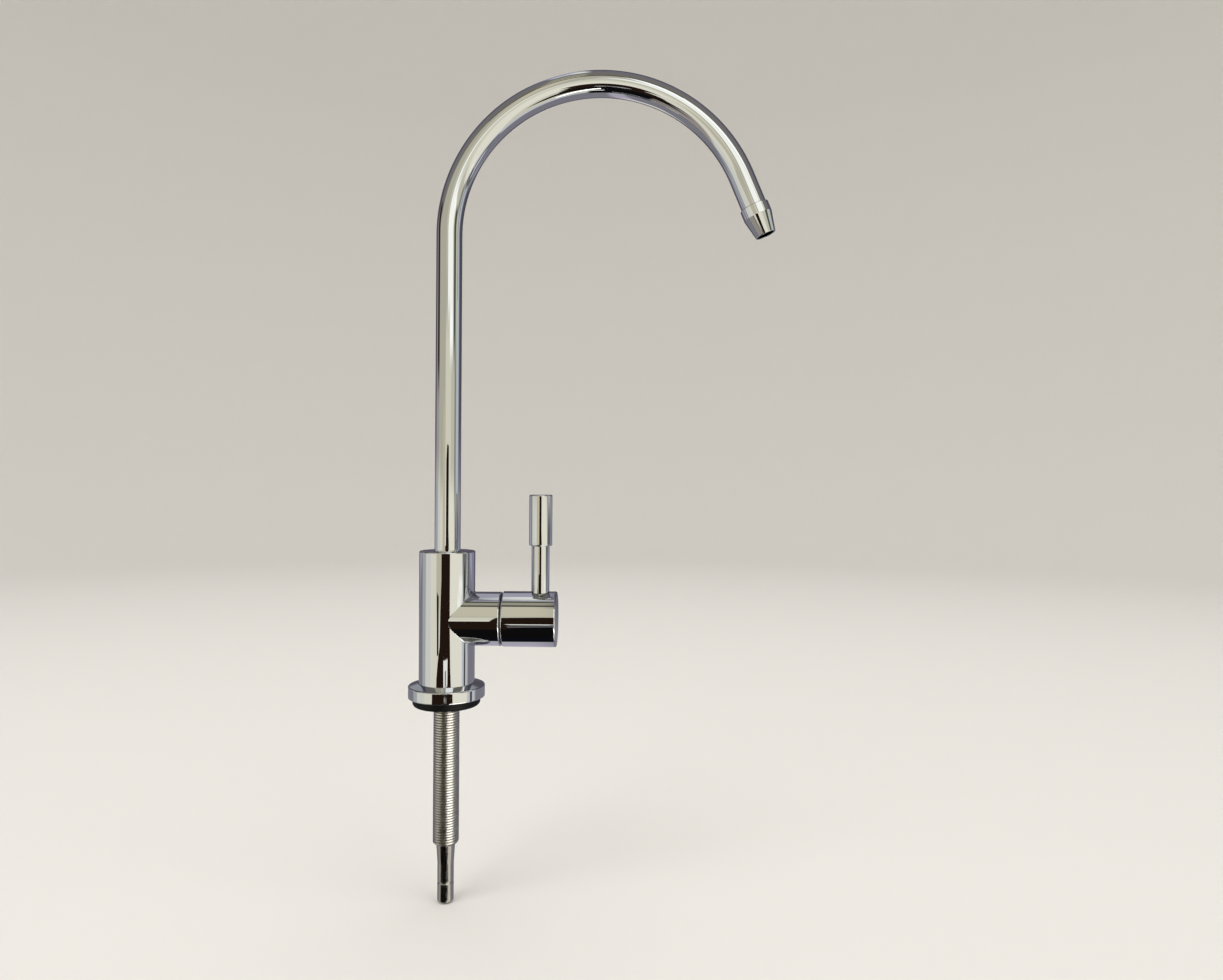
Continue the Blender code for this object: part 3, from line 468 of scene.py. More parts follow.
def combine(target: bpy.types.Object, operation: Operation,
            *tools: bpy.types.Object) -> bpy.types.Object:
    """Join tools to a piece or cut them out of it.

    Args:
        target: the piece.
        operation: what to do with the tools.
        tools: closed meshes, which are used up.

    Returns:
        The piece as a plain mesh.
    """
    for tool in tools:
        step = target.modifiers.new(tool.name, "BOOLEAN")
        step.operation = operation.value
        step.solver = "EXACT"
        step.object = tool
    target = settle(target)
    for tool in tools:
        bpy.data.objects.remove(tool)
    return target


Corner = tuple[float, float, float]


def rounded(corners: list[Corner], closed: bool = True, steps: int = 4) -> list[tuple[float, float]]:
    """Round the corners of an outline.

    Args:
        corners: radius, height and rounding of each corner, in millimetres.
        closed: whether the last corner leads back to the first.
        steps: the number of facets in a rounding.

    Returns:
        Points of radius and height in metres. A point close to each rounding keeps the shading of
        the straight stretch beside it flat.
    """
    points = [Vector((r * MM, h * MM)) for r, h, _ in corners]
    count = len(points)
    outline = []
    for i, here in enumerate(points):
        radius = corners[i][2] * MM
        if radius <= 0 or (not closed and i in (0, count - 1)):
            outline.append(tuple(here))
            continue
        back = points[i - 1] - here
        ahead = points[(i + 1) % count] - here
        room = min(back.length, ahead.length)
        back.normalize()
        ahead.normalize()
        half = back.angle(ahead) / 2
        reach = min(radius / math.tan(half), room * ROOM_SHARE)
        radius = reach * math.tan(half)
        centre = here + (back + ahead).normalized() * (radius / math.sin(half))
        start = here + back * reach - centre
        end = here + ahead * reach - centre
        turn = start.angle_signed(end)
        hold = min(HOLD, (room - reach) / 3)
        outline.append(tuple(here + back * (reach + hold)))
        for step in range(steps + 1):
            swing = Matrix.Rotation(-turn * step / steps, 2)
            outline.append(tuple(centre + swing @ start))
        outline.append(tuple(here + ahead * (reach + hold)))
    return outline


def turned(name: str, outline: list[tuple[float, float]], steps: int, along: Vector = UP,
           foot: Vector = Vector(), closed: bool = True) -> bpy.types.Object:
    """Turn an outline about an axis.

    Args:
        name: the object's name.
        outline: points of radius and height, in metres.
        steps: the number of facets round the axis.
        along: the axis, towards growing height.
        foot: the point of the axis at height zero.
        closed: whether the outline is a loop. An open one ends on the axis.

    Returns:
        The turned solid, shaded smooth.
    """
    side = ACROSS if abs(along.x) < 0.5 else Vector((0, 1, 0))
    side = (side - along * side.dot(along)).normalized()
    other = along.cross(side)
    points = []
    for step in range(steps):
        angle = 2 * math.pi * step / steps
        out = side * math.cos(angle) + other * math.sin(angle)
        points += [foot + out * r + along * h for r, h in outline]
    count = len(outline)
    spans = count if closed else count - 1
    faces = []
    for step in range(steps):
        here, there = step * count, (step + 1) % steps * count
        for i in range(spans):
            j = (i + 1) % count
            faces.append((here + i, here + j, there + j, there + i))
    obj = polyhedron(name, points, faces)
    shade(obj)
    return obj


def prism(name: str, outline: list[tuple[float, float]], start: float, end: float,
          foot: Vector) -> bpy.types.Object:
    """Extrude an outline of the YZ plane along +X.

    Args:
        name: the object's name.
        outline: points in metres about the foot.
        start: where the solid starts along X, in metres.
        end: where it ends.
        foot: the origin of the outline and of X.

    Returns:
        The closed solid.
    """
    count = len(outline)
    points = [foot + Vector((x, y, z)) for x in (start, end) for y, z in outline]
    faces = [(i, (i + 1) % count, count + (i + 1) % count, count + i) for i in range(count)]
    faces += [tuple(range(count)), tuple(range(count, 2 * count))]
    return polyhedron(name, points, faces)


def dress(obj: bpy.types.Object, material: bpy.types.Material, slot: str, body: Body,
          *nodes: str) -> None:
    """Give a finished piece its material, its body and the CAD nodes that it stands for.

    Args:
        obj: the finished mesh, at the origin.
        material: its material.
        slot: the record's material slot; not used.
        body: the body that it rides on.
        nodes: the CAD nodes that it replaces.
    """
    obj.data.materials.clear()
    obj.data.materials.append(material)
    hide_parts(*nodes)
    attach(obj, body.value)
    LOG.info("%s: %d faces on %s, for %s", obj.name, len(obj.data.polygons), body.value,
             ", ".join(nodes))


@dataclass
class BodyCasting:
    """The upright body and its side arm, two crossing cylinders.

    The arm is turned a little slimmer than the upright, so the crease between them ends blunt.
    """

    steps: int = 144
    round_steps: int = 4
    crease_steps: int = 5
    bore_steps: int = 96
    port_steps: int = 48
    top_round: float = 0.5
    foot_round: float = 0.3
    arm_chamfer: float = 0.5
    arm_step: float = 0.25
    crease_radius: float = 0.45
    seat_gap: float = 0.3
    running_gap: float = 0.25
    wall_play: float = 0.15
    seal_gap: float = 0.12
    cross_port: float = 2.5
    inlet_port: float = 2.25
    outlet_port: float = 1.8
    outlet_foot: float = 2.1
    outlet_reach: float = 6.15

    def __post_init__(self) -> None:
        """Read the body's main sizes from the frame."""
        box = Extent.of("body")
        self.radius = box.high.y
        self.top = box.high.z
        self.bottom = box.low.z
        self.arm_end = box.high.x
        self.arm_height = joint_place("handle_turn").z
        self.arm_radius = self.radius - self.arm_step * MM
        self.upright_reach = self.radius + self.crease_radius * MM
        self.arm_reach = self.arm_radius + self.crease_radius * MM

    def shell(self) -> bpy.types.Object:
        """Make the outer form with a small fillet along the crease between body and arm.

        Returns:
            A closed solid without its cavities.
        """
        points: list[Vector] = []
        faces: list[tuple[int, ...]] = []
        turns = [2 * math.pi * i / self.steps for i in range(self.steps)]

        def sheet(columns: list[list[Vector]], closed: bool) -> None:
            """Add a grid of faces between columns of points.

            Args:
                columns: the points of each column, as many in each.
                closed: whether the last column leads back to the first.
            """
            start, rows = len(points), len(columns[0])
            points.extend(p for column in columns for p in column)
            spans = len(columns) if closed else len(columns) - 1
            for i in range(spans):
                here, there = start + i * rows, start + (i + 1) % len(columns) * rows
                faces.extend((here + j, here + j + 1, there + j + 1, there + j)
                             for j in range(rows - 1))

        for above in (True, False):
            sheet([self.upright_column(a, above) for a in turns], True)
            half = self.steps // 4
            sheet([self.crease_column(turns[i % self.steps], above)
                   for i in range(-half, half + 1)], False)
        sheet([self.arm_column(a) for a in turns], True)
        for rim in (self.top_rim, self.foot_rim, self.arm_rim):
            start = len(points)
            points.extend(rim(a) for a in turns)
            faces.append(tuple(range(start, start + self.steps)))
        return polyhedron("body_casting", points, faces)

    def around(self, turn: float) -> float:
        """Return the angle round the upright that belongs to an angle round the arm.

        Args:
            turn: the angle round the arm, from its top.

        Returns:
            The angle round the upright, from the arm's side. Where the arm has no crease, the
            angles are spread evenly over the rest of the upright.
        """
        turn = (turn + math.pi / 2) % (2 * math.pi) - math.pi / 2
        widest = math.asin(self.arm_reach / self.upright_reach)
        if turn <= math.pi / 2:
            return math.asin(math.sin(turn) * self.arm_reach / self.upright_reach)
        return widest + (turn / math.pi - 0.5) * 2 * (math.pi - widest)

    def upright_column(self, turn: float, above: bool) -> list[Vector]:
        """Return the points of the upright from its end to the crease.

        Args:
            turn: the angle round the arm, from its top.
            above: whether it is the part over the arm or the part under it.

        Returns:
            A column of points, the first on the end's rim.
        """
        edge = (self.top_round if above else self.foot_round) * MM
        end = self.top if above else self.bottom
        sign = 1 if above else -1
        rows = []
        for step in range(self.round_steps + 1):
            swing = math.radians(90 - 90 * step / self.round_steps)
            rows.append((self.radius - edge + edge * math.cos(swing),
                         end - sign * edge * (1 - math.sin(swing))))
        crease = self.arm_height + sign * self.arm_reach * max(math.cos(turn), 0.0)
        rows.append((self.radius, end - sign * (edge + HOLD)))
        rows += [(self.radius, crease + sign * HOLD), (self.radius, crease)]
        side = self.around(turn)
        return [Vector((r * math.cos(side), r * math.sin(side), z)) for r, z in rows]

    def crease_column(self, turn: float, above: bool) -> list[Vector]:
        """Return the points of the fillet from the upright to the arm.

        Args:
            turn: the angle round the arm, from its top.
            above: whether it is the upper half of the crease or the lower one.

        Returns:
            A column of points on an arc.
        """
        sign = 1 if above else -1
        fillet = self.crease_radius * MM
        side = self.around(turn)
        out = Vector((math.cos(side), math.sin(side), 0))
        over = Vector((0, math.sin(turn), sign * math.cos(turn)))
        ball = self.upright_reach * out + Vector((0, 0, self.arm_height + self.arm_reach * over.z))
        return [ball - fillet * out.slerp(over, step / self.crease_steps)
                for step in range(self.crease_steps + 1)]

    def arm_column(self, turn: float) -> list[Vector]:
        """Return the points of the arm from the crease to its rounded end.

        Args:
            turn: the angle round the arm, from its top.

        Returns:
            A column of points, the last on the end's rim.
        """
        chamfer = self.arm_chamfer * MM
        start = math.sqrt(self.upright_reach ** 2 - (self.arm_reach * math.sin(turn)) ** 2)
        rows = [(start, self.arm_radius), (start + HOLD, self.arm_radius),
                (self.arm_end - chamfer - HOLD, self.arm_radius)]
        for step in range(self.round_steps + 1):
            swing = math.radians(90 * step / self.round_steps)
            rows.append((self.arm_end - chamfer * (1 - math.sin(swing)),
                         self.arm_radius - chamfer * (1 - math.cos(swing))))
        return [Vector((x, r * math.sin(turn), self.arm_height + r * math.cos(turn)))
                for x, r in rows]

    def top_rim(self, turn: float) -> Vector:
        """Return the first point of the upright's upper column."""
        return self.upright_column(turn, True)[0]

    def foot_rim(self, turn: float) -> Vector:
        """Return the first point of the upright's lower column."""
        return self.upright_column(turn, False)[0]

    def arm_rim(self, turn: float) -> Vector:
        """Return the last point of the arm's column."""
        return self.arm_column(turn)[-1]

    def build(self, palette: Palette) -> None:
        """Make the casting with its sockets, chamber and water ways.

        Args:
            palette: the materials.
        """
        gap, play = self.seat_gap * MM, self.wall_play * MM
        tube, clip = Extent.of("spout_tube"), Extent.of("spout_clip")
        washer = Extent.of("spout_thrust_washer")
        socket = -tube.low.x + gap / 2
        floor = washer.low.z - gap
        clip_wall, groove = clip.high.y + self.running_gap * MM, gap
        above = [(0, self.top + MM), (socket, self.top + MM), (socket, clip.high.z + groove),
                 (clip_wall, clip.high.z + groove), (clip_wall, clip.low.z - groove),
                 (socket, clip.low.z - groove), (socket, floor), (0, floor)]

        shank, seal = Extent.of("shank"), Extent.of("shank_seal")
        hole, roof = shank.high.x + gap, seal.high.z + gap
        inlet, inlet_end = self.inlet_port * MM, self.arm_height + self.inlet_port * MM / 2
        below = [(0, inlet_end), (inlet, inlet_end), (inlet, roof), (hole, roof),
                 (hole, self.bottom - MM), (0, self.bottom - MM)]

        glide, disc_seal = Extent.of("handle_glide_ring"), Extent.of("seat_seal")
        recess, recess_floor = glide.high.y + play, glide.low.x - play
        chamber = Extent.of("housing_seal").high.y + self.seal_gap * MM
        bottom = disc_seal.low.x - gap
        cross, cross_end = self.cross_port * MM, -self.inlet_port * MM / 2
        side = [(0, self.arm_end + MM), (recess, self.arm_end + MM), (recess, recess_floor),
                (chamber, recess_floor), (chamber, bottom), (cross, bottom), (cross, cross_end),
                (0, cross_end)]

        start = Vector((self.outlet_foot * MM, 0, floor))
        end = Vector((self.outlet_reach * MM, 0, self.arm_height + chamber))
        run = end - start
        lead = 2 * self.outlet_port * MM
        port = self.outlet_port * MM
        slant = [(0, -lead / 2), (port, -lead / 2), (port, run.length + lead), (0, run.length + lead)]
        axis_foot = Vector((0, 0, self.arm_height))
        obj = combine(
            self.shell(), Operation.CUT,
            turned("spout_socket", above, self.bore_steps, closed=False),
            turned("shank_socket", below, self.bore_steps, closed=False),
            turned("chamber", side, self.bore_steps, ACROSS, axis_foot, closed=False),
            turned("outlet_port", slant, self.port_steps, run.normalized(), start, closed=False))
        shade(obj)
        dress(obj, palette.chrome, ChromePlate.slot, Body.FIXED, "body")


@dataclass
class BaseSet:
    """The chromed base ring and the rubber gasket under it."""

    steps: int = 144
    rim_height: float = 4.5
    rim_round: float = 0.55
    lower_round: float = 0.3
    seat_depth: float = 0.7
    seat_round: float = 0.12
    seat_clearance: float = 0.1
    recess_depth: float = 1.5
    recess_round: float = 0.1
    gasket_clearance: float = 0.3
    gasket_top_round: float = 0.15
    gasket_round: float = 1.4
    gasket_hole_round: float = 0.2
    shank_clearance: float = 0.3

    def build(self, palette: Palette) -> None:
        """Make the ring and the gasket.

        Args:
            palette: the materials.
        """
        ring, gasket = Extent.of("base_ring"), Extent.of("base_gasket")
        body, shank = Extent.of("body"), Extent.of("shank")
        rim, foot, crown = ring.high.y / MM, ring.low.z / MM, ring.high.z / MM
        seat = body.high.y / MM + self.seat_clearance
        hole = shank.high.x / MM + self.shank_clearance
        recess = gasket.high.y / MM + self.gasket_clearance
        recess_top, seat_floor = foot + self.recess_depth, crown - self.seat_depth
        outline = rounded([
            (seat, crown, self.seat_round), (rim, foot + self.rim_height, self.rim_round),
            (rim, foot, self.lower_round), (recess, foot, self.recess_round), (recess, recess_top, 0),
            (hole, recess_top, 0), (hole, seat_floor, 0), (seat, seat_floor, 0)])
        dress(turned("base_flange", outline, self.steps), palette.chrome, ChromePlate.slot,
              Body.FIXED, "base_ring")

        edge, top = gasket.high.y / MM, gasket.high.z / MM
        outline = rounded([
            (edge, top, self.gasket_top_round), (edge, 0, self.gasket_round),
            (hole, 0, self.gasket_hole_round), (hole, top, 0)], steps=8)
        dress(turned("rubber_gasket", outline, self.steps), palette.rubber, "nitrile_rubber",
              Body.FIXED, "base_gasket")


@dataclass
class Shank:
    """The hollow shank: a metric thread made by geometry nodes, a neck and a plain stem."""

    segments: int = 96
    rows: int = 8
    pitch: float = 1.0
    thread_depth: float = 0.42
    thread_below_deck: float = 53.9
    thread_shading: float = 50.0
    root_flat: float = 0.1
    crest_flat: float = 0.6
    end_radius: float = 4.1
    neck_radius: float = 3.65
    neck_round: float = 0.12
    neck_length: float = 7.2
    stem_radius: float = 3.175
    shoulder_round: float = 1.5
    stem_end_round: float = 0.5
    groove_above_end: float = 7.5
    groove_width: float = 0.9
    groove_depth: float = 0.3
    groove_edge_round: float = 0.08
    groove_floor_round: float = 0.15
    bore_radius: float = 2.0
    bore_end_round: float = 0.25
    bore_top_round: float = 0.2

    def rest(self) -> bpy.types.Object:
        """Make the neck, the stem and the bore, open where the thread closes them.

        Returns:
            An open turned sheet.
        """
        shank = Extent.of("shank")
        top, end = shank.high.z / MM, shank.low.z / MM
        low = -self.thread_below_deck
        groove, half = end + self.groove_above_end, self.groove_width / 2
        floor = self.stem_radius - self.groove_depth
        outline = rounded([
            (self.end_radius, low, 0), (self.neck_radius, low, self.neck_round),
            (self.stem_radius, low - self.neck_length, self.shoulder_round),
            (self.stem_radius, groove + half, self.groove_edge_round),
            (floor, groove + half / 2, self.groove_floor_round),
            (floor, groove - half / 2, self.groove_floor_round),
            (self.stem_radius, groove - half, self.groove_edge_round),
            (self.stem_radius, end, self.stem_end_round),
            (self.bore_radius, end, self.bore_end_round),
            (self.bore_radius, top, self.bore_top_round), (self.end_radius, top, 0)], closed=False)
        return turned("threaded_shank", outline, self.segments, closed=False)

    def thread_tree(self) -> bpy.types.NodeTree:
        """Make the geometry nodes that wind a thread between two heights.

        Returns:
            A tree with named inputs for its sizes.
        """
        tree = bpy.data.node_groups.new("screw_thread", "GeometryNodeTree")
        sockets = tree.interface
        sockets.new_socket("Geometry", in_out="INPUT", socket_type="NodeSocketGeometry")
        for name in ("Pitch", "Root Radius", "Depth", "End Radius", "Low", "High"):
            sockets.new_socket(name, in_out="INPUT", socket_type="NodeSocketFloat")
        sockets.new_socket("Segments", in_out="INPUT", socket_type="NodeSocketInt")
        sockets.new_socket("Finish", in_out="INPUT", socket_type="NodeSocketMaterial")
        sockets.new_socket("Geometry", in_out="OUTPUT", socket_type="NodeSocketGeometry")
        given = add_node(tree, "NodeGroupInput").outputs

        def maths(operation: str, *values: object) -> bpy.types.NodeSocket:
            """Add one sum and return its result."""
            return add_node(tree, "ShaderNodeMath", dict(enumerate(values)),
                            operation=operation).outputs[0]

        length = maths("SUBTRACT", given["High"], given["Low"])
        wound = maths("ADD", maths("CEIL", maths("DIVIDE", length, given["Pitch"])), 1.0)
        sweep = maths("MULTIPLY", wound, 2 * math.pi)
        columns = maths("ADD", maths("MULTIPLY", wound, given["Segments"]), 1.0)
        grid = add_node(tree, "GeometryNodeMeshGrid",
                        {"Size X": sweep, "Size Y": 1.0, "Vertices X": columns,
                         "Vertices Y": self.rows + 1})
        place = add_node(tree, "ShaderNodeSeparateXYZ",
                         {0: add_node(tree, "GeometryNodeInputPosition").outputs[0]})
        angle = maths("ADD", place.outputs["X"], maths("DIVIDE", sweep, 2.0))
        share = maths("ADD", place.outputs["Y"], 0.5)
        turns = maths("SUBTRACT", maths("ADD", maths("DIVIDE", angle, 2 * math.pi), share), 1.0)
        height = maths("ADD", given["Low"], maths("MULTIPLY", turns, given["Pitch"]))
        height = maths("MINIMUM", maths("MAXIMUM", height, given["Low"]), given["High"])
        hill = maths("SUBTRACT", 1.0, maths("ABSOLUTE", maths("MULTIPLY_ADD", share, 2.0, -1.0)))
        ridge = add_node(tree, "ShaderNodeMapRange",
                         {"Value": hill, "From Min": self.root_flat, "From Max": 1 - self.crest_flat})
        radius = maths("MULTIPLY_ADD", ridge.outputs[0], given["Depth"], given["Root Radius"])
        lower = maths("ADD", given["End Radius"], maths("SUBTRACT", height, given["Low"]))
        upper = maths("ADD", given["End Radius"], maths("SUBTRACT", given["High"], height))
        radius = maths("MINIMUM", radius, maths("MINIMUM", lower, upper))
        point = add_node(tree, "ShaderNodeCombineXYZ",
                         {"X": maths("MULTIPLY", radius, maths("COSINE", angle)),
                          "Y": maths("MULTIPLY", radius, maths("SINE", angle)), "Z": height})
        wound_grid = add_node(tree, "GeometryNodeSetPosition",
                              {"Geometry": grid.outputs["Mesh"], "Position": point.outputs[0]})
        both = add_node(tree, "GeometryNodeJoinGeometry")
        tree.links.new(given["Geometry"], both.inputs[0])
        tree.links.new(wound_grid.outputs[0], both.inputs[0])
        real = add_node(tree, "GeometryNodeRealizeInstances", {"Geometry": both.outputs[0]})
        finished = add_node(tree, "GeometryNodeSetMaterial",
                            {"Geometry": real.outputs[0], "Material": given["Finish"]})
        add_node(tree, "NodeGroupOutput", {"Geometry": finished.outputs[0]})
        return tree

    def build(self, palette: Palette) -> None:
        """Make the shank with its thread.

        Args:
            palette: the materials.
        """
        crest = Extent.of("shank").high.x
        obj = run_tree(self.rest(), self.thread_tree(), {
            "Pitch": self.pitch * MM, "Root Radius": crest - self.thread_depth * MM,
            "Depth": self.thread_depth * MM, "End Radius": self.end_radius * MM,
            "Low": -self.thread_below_deck * MM, "High": Extent.of("shank").high.z,
            "Segments": self.segments, "Finish": palette.nickel})
        weld(obj)
        shade(obj, self.thread_shading)
        dress(obj, palette.nickel, NickelPlate.slot, Body.FIXED, "shank")


def run_tree(obj: bpy.types.Object, tree: bpy.types.NodeTree,
             values: dict[str, object]) -> bpy.types.Object:
    """Run geometry nodes on an object and keep the result as a plain mesh.

    Args:
        obj: the object that the tree starts from, which is used up.
        tree: the geometry nodes.
        values: the tree's inputs by name.

    Returns:
        A mesh object of the same name.
    """
    step = obj.modifiers.new(tree.name, "NODES")
    step.node_group = tree
    for item in tree.interface.items_tree:
        if item.in_out == "INPUT" and item.name in values:
            step[item.identifier] = values[item.name]
    return settle(obj)


@dataclass
class Gooseneck:
    """The bent tube, swept along its route by geometry nodes, and its conical tip."""

    sides: int = 72
    bend_steps: int = 120
    wall: float = 0.8
    bend_radius: float = 59.3
    bend_sweep: float = 157.0
    tail: float = 16.3
    tip_steps: int = 96
    tip_band: float = 4.1
    tip_cone: float = 7.9
    tip_radius: float = 5.65
    band_round: float = 0.25
    cone_round: float = 0.9
    mouth_radius: float = 3.95
    mouth_wall: float = 0.5
    mouth_round: float = 0.15
    tip_bore_round: float = 0.3
    socket_depth: float = 4.0
    socket_round: float = 0.1
    socket_gap: float = 0.12
    stop_gap: float = 0.3

    def __post_init__(self) -> None:
        """Read the tube's size and height from the frame."""
        box = Extent.of("spout_tube")
        self.radius = -box.low.x
        self.foot = box.low.z
        self.centre = Vector((self.bend_radius * MM, 0,
                              box.high.z - self.radius - self.bend_radius * MM))

    def heading(self) -> Vector:
        """Return the direction in which the tube's straight end points."""
        end = math.pi - math.radians(self.bend_sweep)
        return Vector((math.sin(end), 0, -math.cos(end)))

    def route(self) -> list[Vector]:
        """Work out the tube's centre line.

        Returns:
            Its points, foot to end.
        """
        points = [Vector((0, 0, self.foot)), Vector((0, 0, self.centre.z - MM))]
        for step in range(self.bend_steps + 1):
            angle = math.pi - math.radians(self.bend_sweep) * step / self.bend_steps
            out = Vector((math.cos(angle), 0, math.sin(angle)))
            points.append(self.centre + self.bend_radius * MM * out)
        end = points[-1]
        return points + [end + self.heading() * MM, end + self.heading() * self.tail * MM]

    def sweep_tree(self) -> bpy.types.NodeTree:
        """Make the geometry nodes that sweep a circle along a curve.

        Returns:
            A tree with named inputs for the tube's radius and sides.
        """
        tree = bpy.data.node_groups.new("swept_tube", "GeometryNodeTree")
        sockets = tree.interface
        sockets.new_socket("Geometry", in_out="INPUT", socket_type="NodeSocketGeometry")
        sockets.new_socket("Radius", in_out="INPUT", socket_type="NodeSocketFloat")
        sockets.new_socket("Sides", in_out="INPUT", socket_type="NodeSocketInt")
        sockets.new_socket("Finish", in_out="INPUT", socket_type="NodeSocketMaterial")
        sockets.new_socket("Geometry", in_out="OUTPUT", socket_type="NodeSocketGeometry")
        given = add_node(tree, "NodeGroupInput").outputs
        circle = add_node(tree, "GeometryNodeCurvePrimitiveCircle",
                          {"Resolution": given["Sides"], "Radius": given["Radius"]})
        tube = add_node(tree, "GeometryNodeCurveToMesh",
                        {"Curve": given["Geometry"], "Profile Curve": circle.outputs[0]})
        real = add_node(tree, "GeometryNodeRealizeInstances", {"Geometry": tube.outputs[0]})
        finished = add_node(tree, "GeometryNodeSetMaterial",
                            {"Geometry": real.outputs[0], "Material": given["Finish"]})
        add_node(tree, "NodeGroupOutput", {"Geometry": finished.outputs[0]})
        return tree

    def build(self, palette: Palette) -> None:
        """Make the tube and the tip.

        Args:
            palette: the materials.
        """
        curve = bpy.data.curves.new("gooseneck_tube", "CURVE")
        curve.dimensions = "3D"
        route = self.route()
        line = curve.splines.new("POLY")
        line.points.add(len(route) - 1)
        for point, place in zip(line.points, route):
            point.co = (*place, 1)
        tube = bpy.data.objects.new("gooseneck_tube", curve)
        bpy.context.scene.collection.objects.link(tube)
        tube = run_tree(tube, self.sweep_tree(),
                        {"Radius": self.radius, "Sides": self.sides, "Finish": palette.chrome})
        weld(tube)
        wall = tube.modifiers.new("wall", "SOLIDIFY")
        wall.thickness = self.wall * MM
        wall.offset = -1
        wall.use_even_offset = True
        tube = settle(tube)
        shade(tube)
        dress(tube, palette.chrome, ChromePlate.slot, Body.SPOUT, "spout_tube")

        length = self.tip_band + self.tip_cone
        stop = length - self.socket_depth - self.stop_gap
        bore = self.radius / MM - self.wall
        socket = self.radius / MM + self.socket_gap
        outline = rounded([
            (self.tip_radius, length, self.band_round),
            (self.tip_radius, self.tip_cone, self.cone_round),
            (self.mouth_radius, 0, self.mouth_round),
            (self.mouth_radius - self.mouth_wall, 0, self.mouth_round),
            (bore, stop - self.socket_depth / 4, self.tip_bore_round), (bore, stop, 0),
            (socket, stop, 0), (socket, length, self.socket_round)], steps=5)
        foot = route[-1] + self.heading() * (stop + self.stop_gap) * MM
        tip = turned("outlet_tip", outline, self.tip_steps, -self.heading(), foot)
        dress(tip, palette.chrome, ChromePlate.slot, Body.SPOUT, "spout_tip")


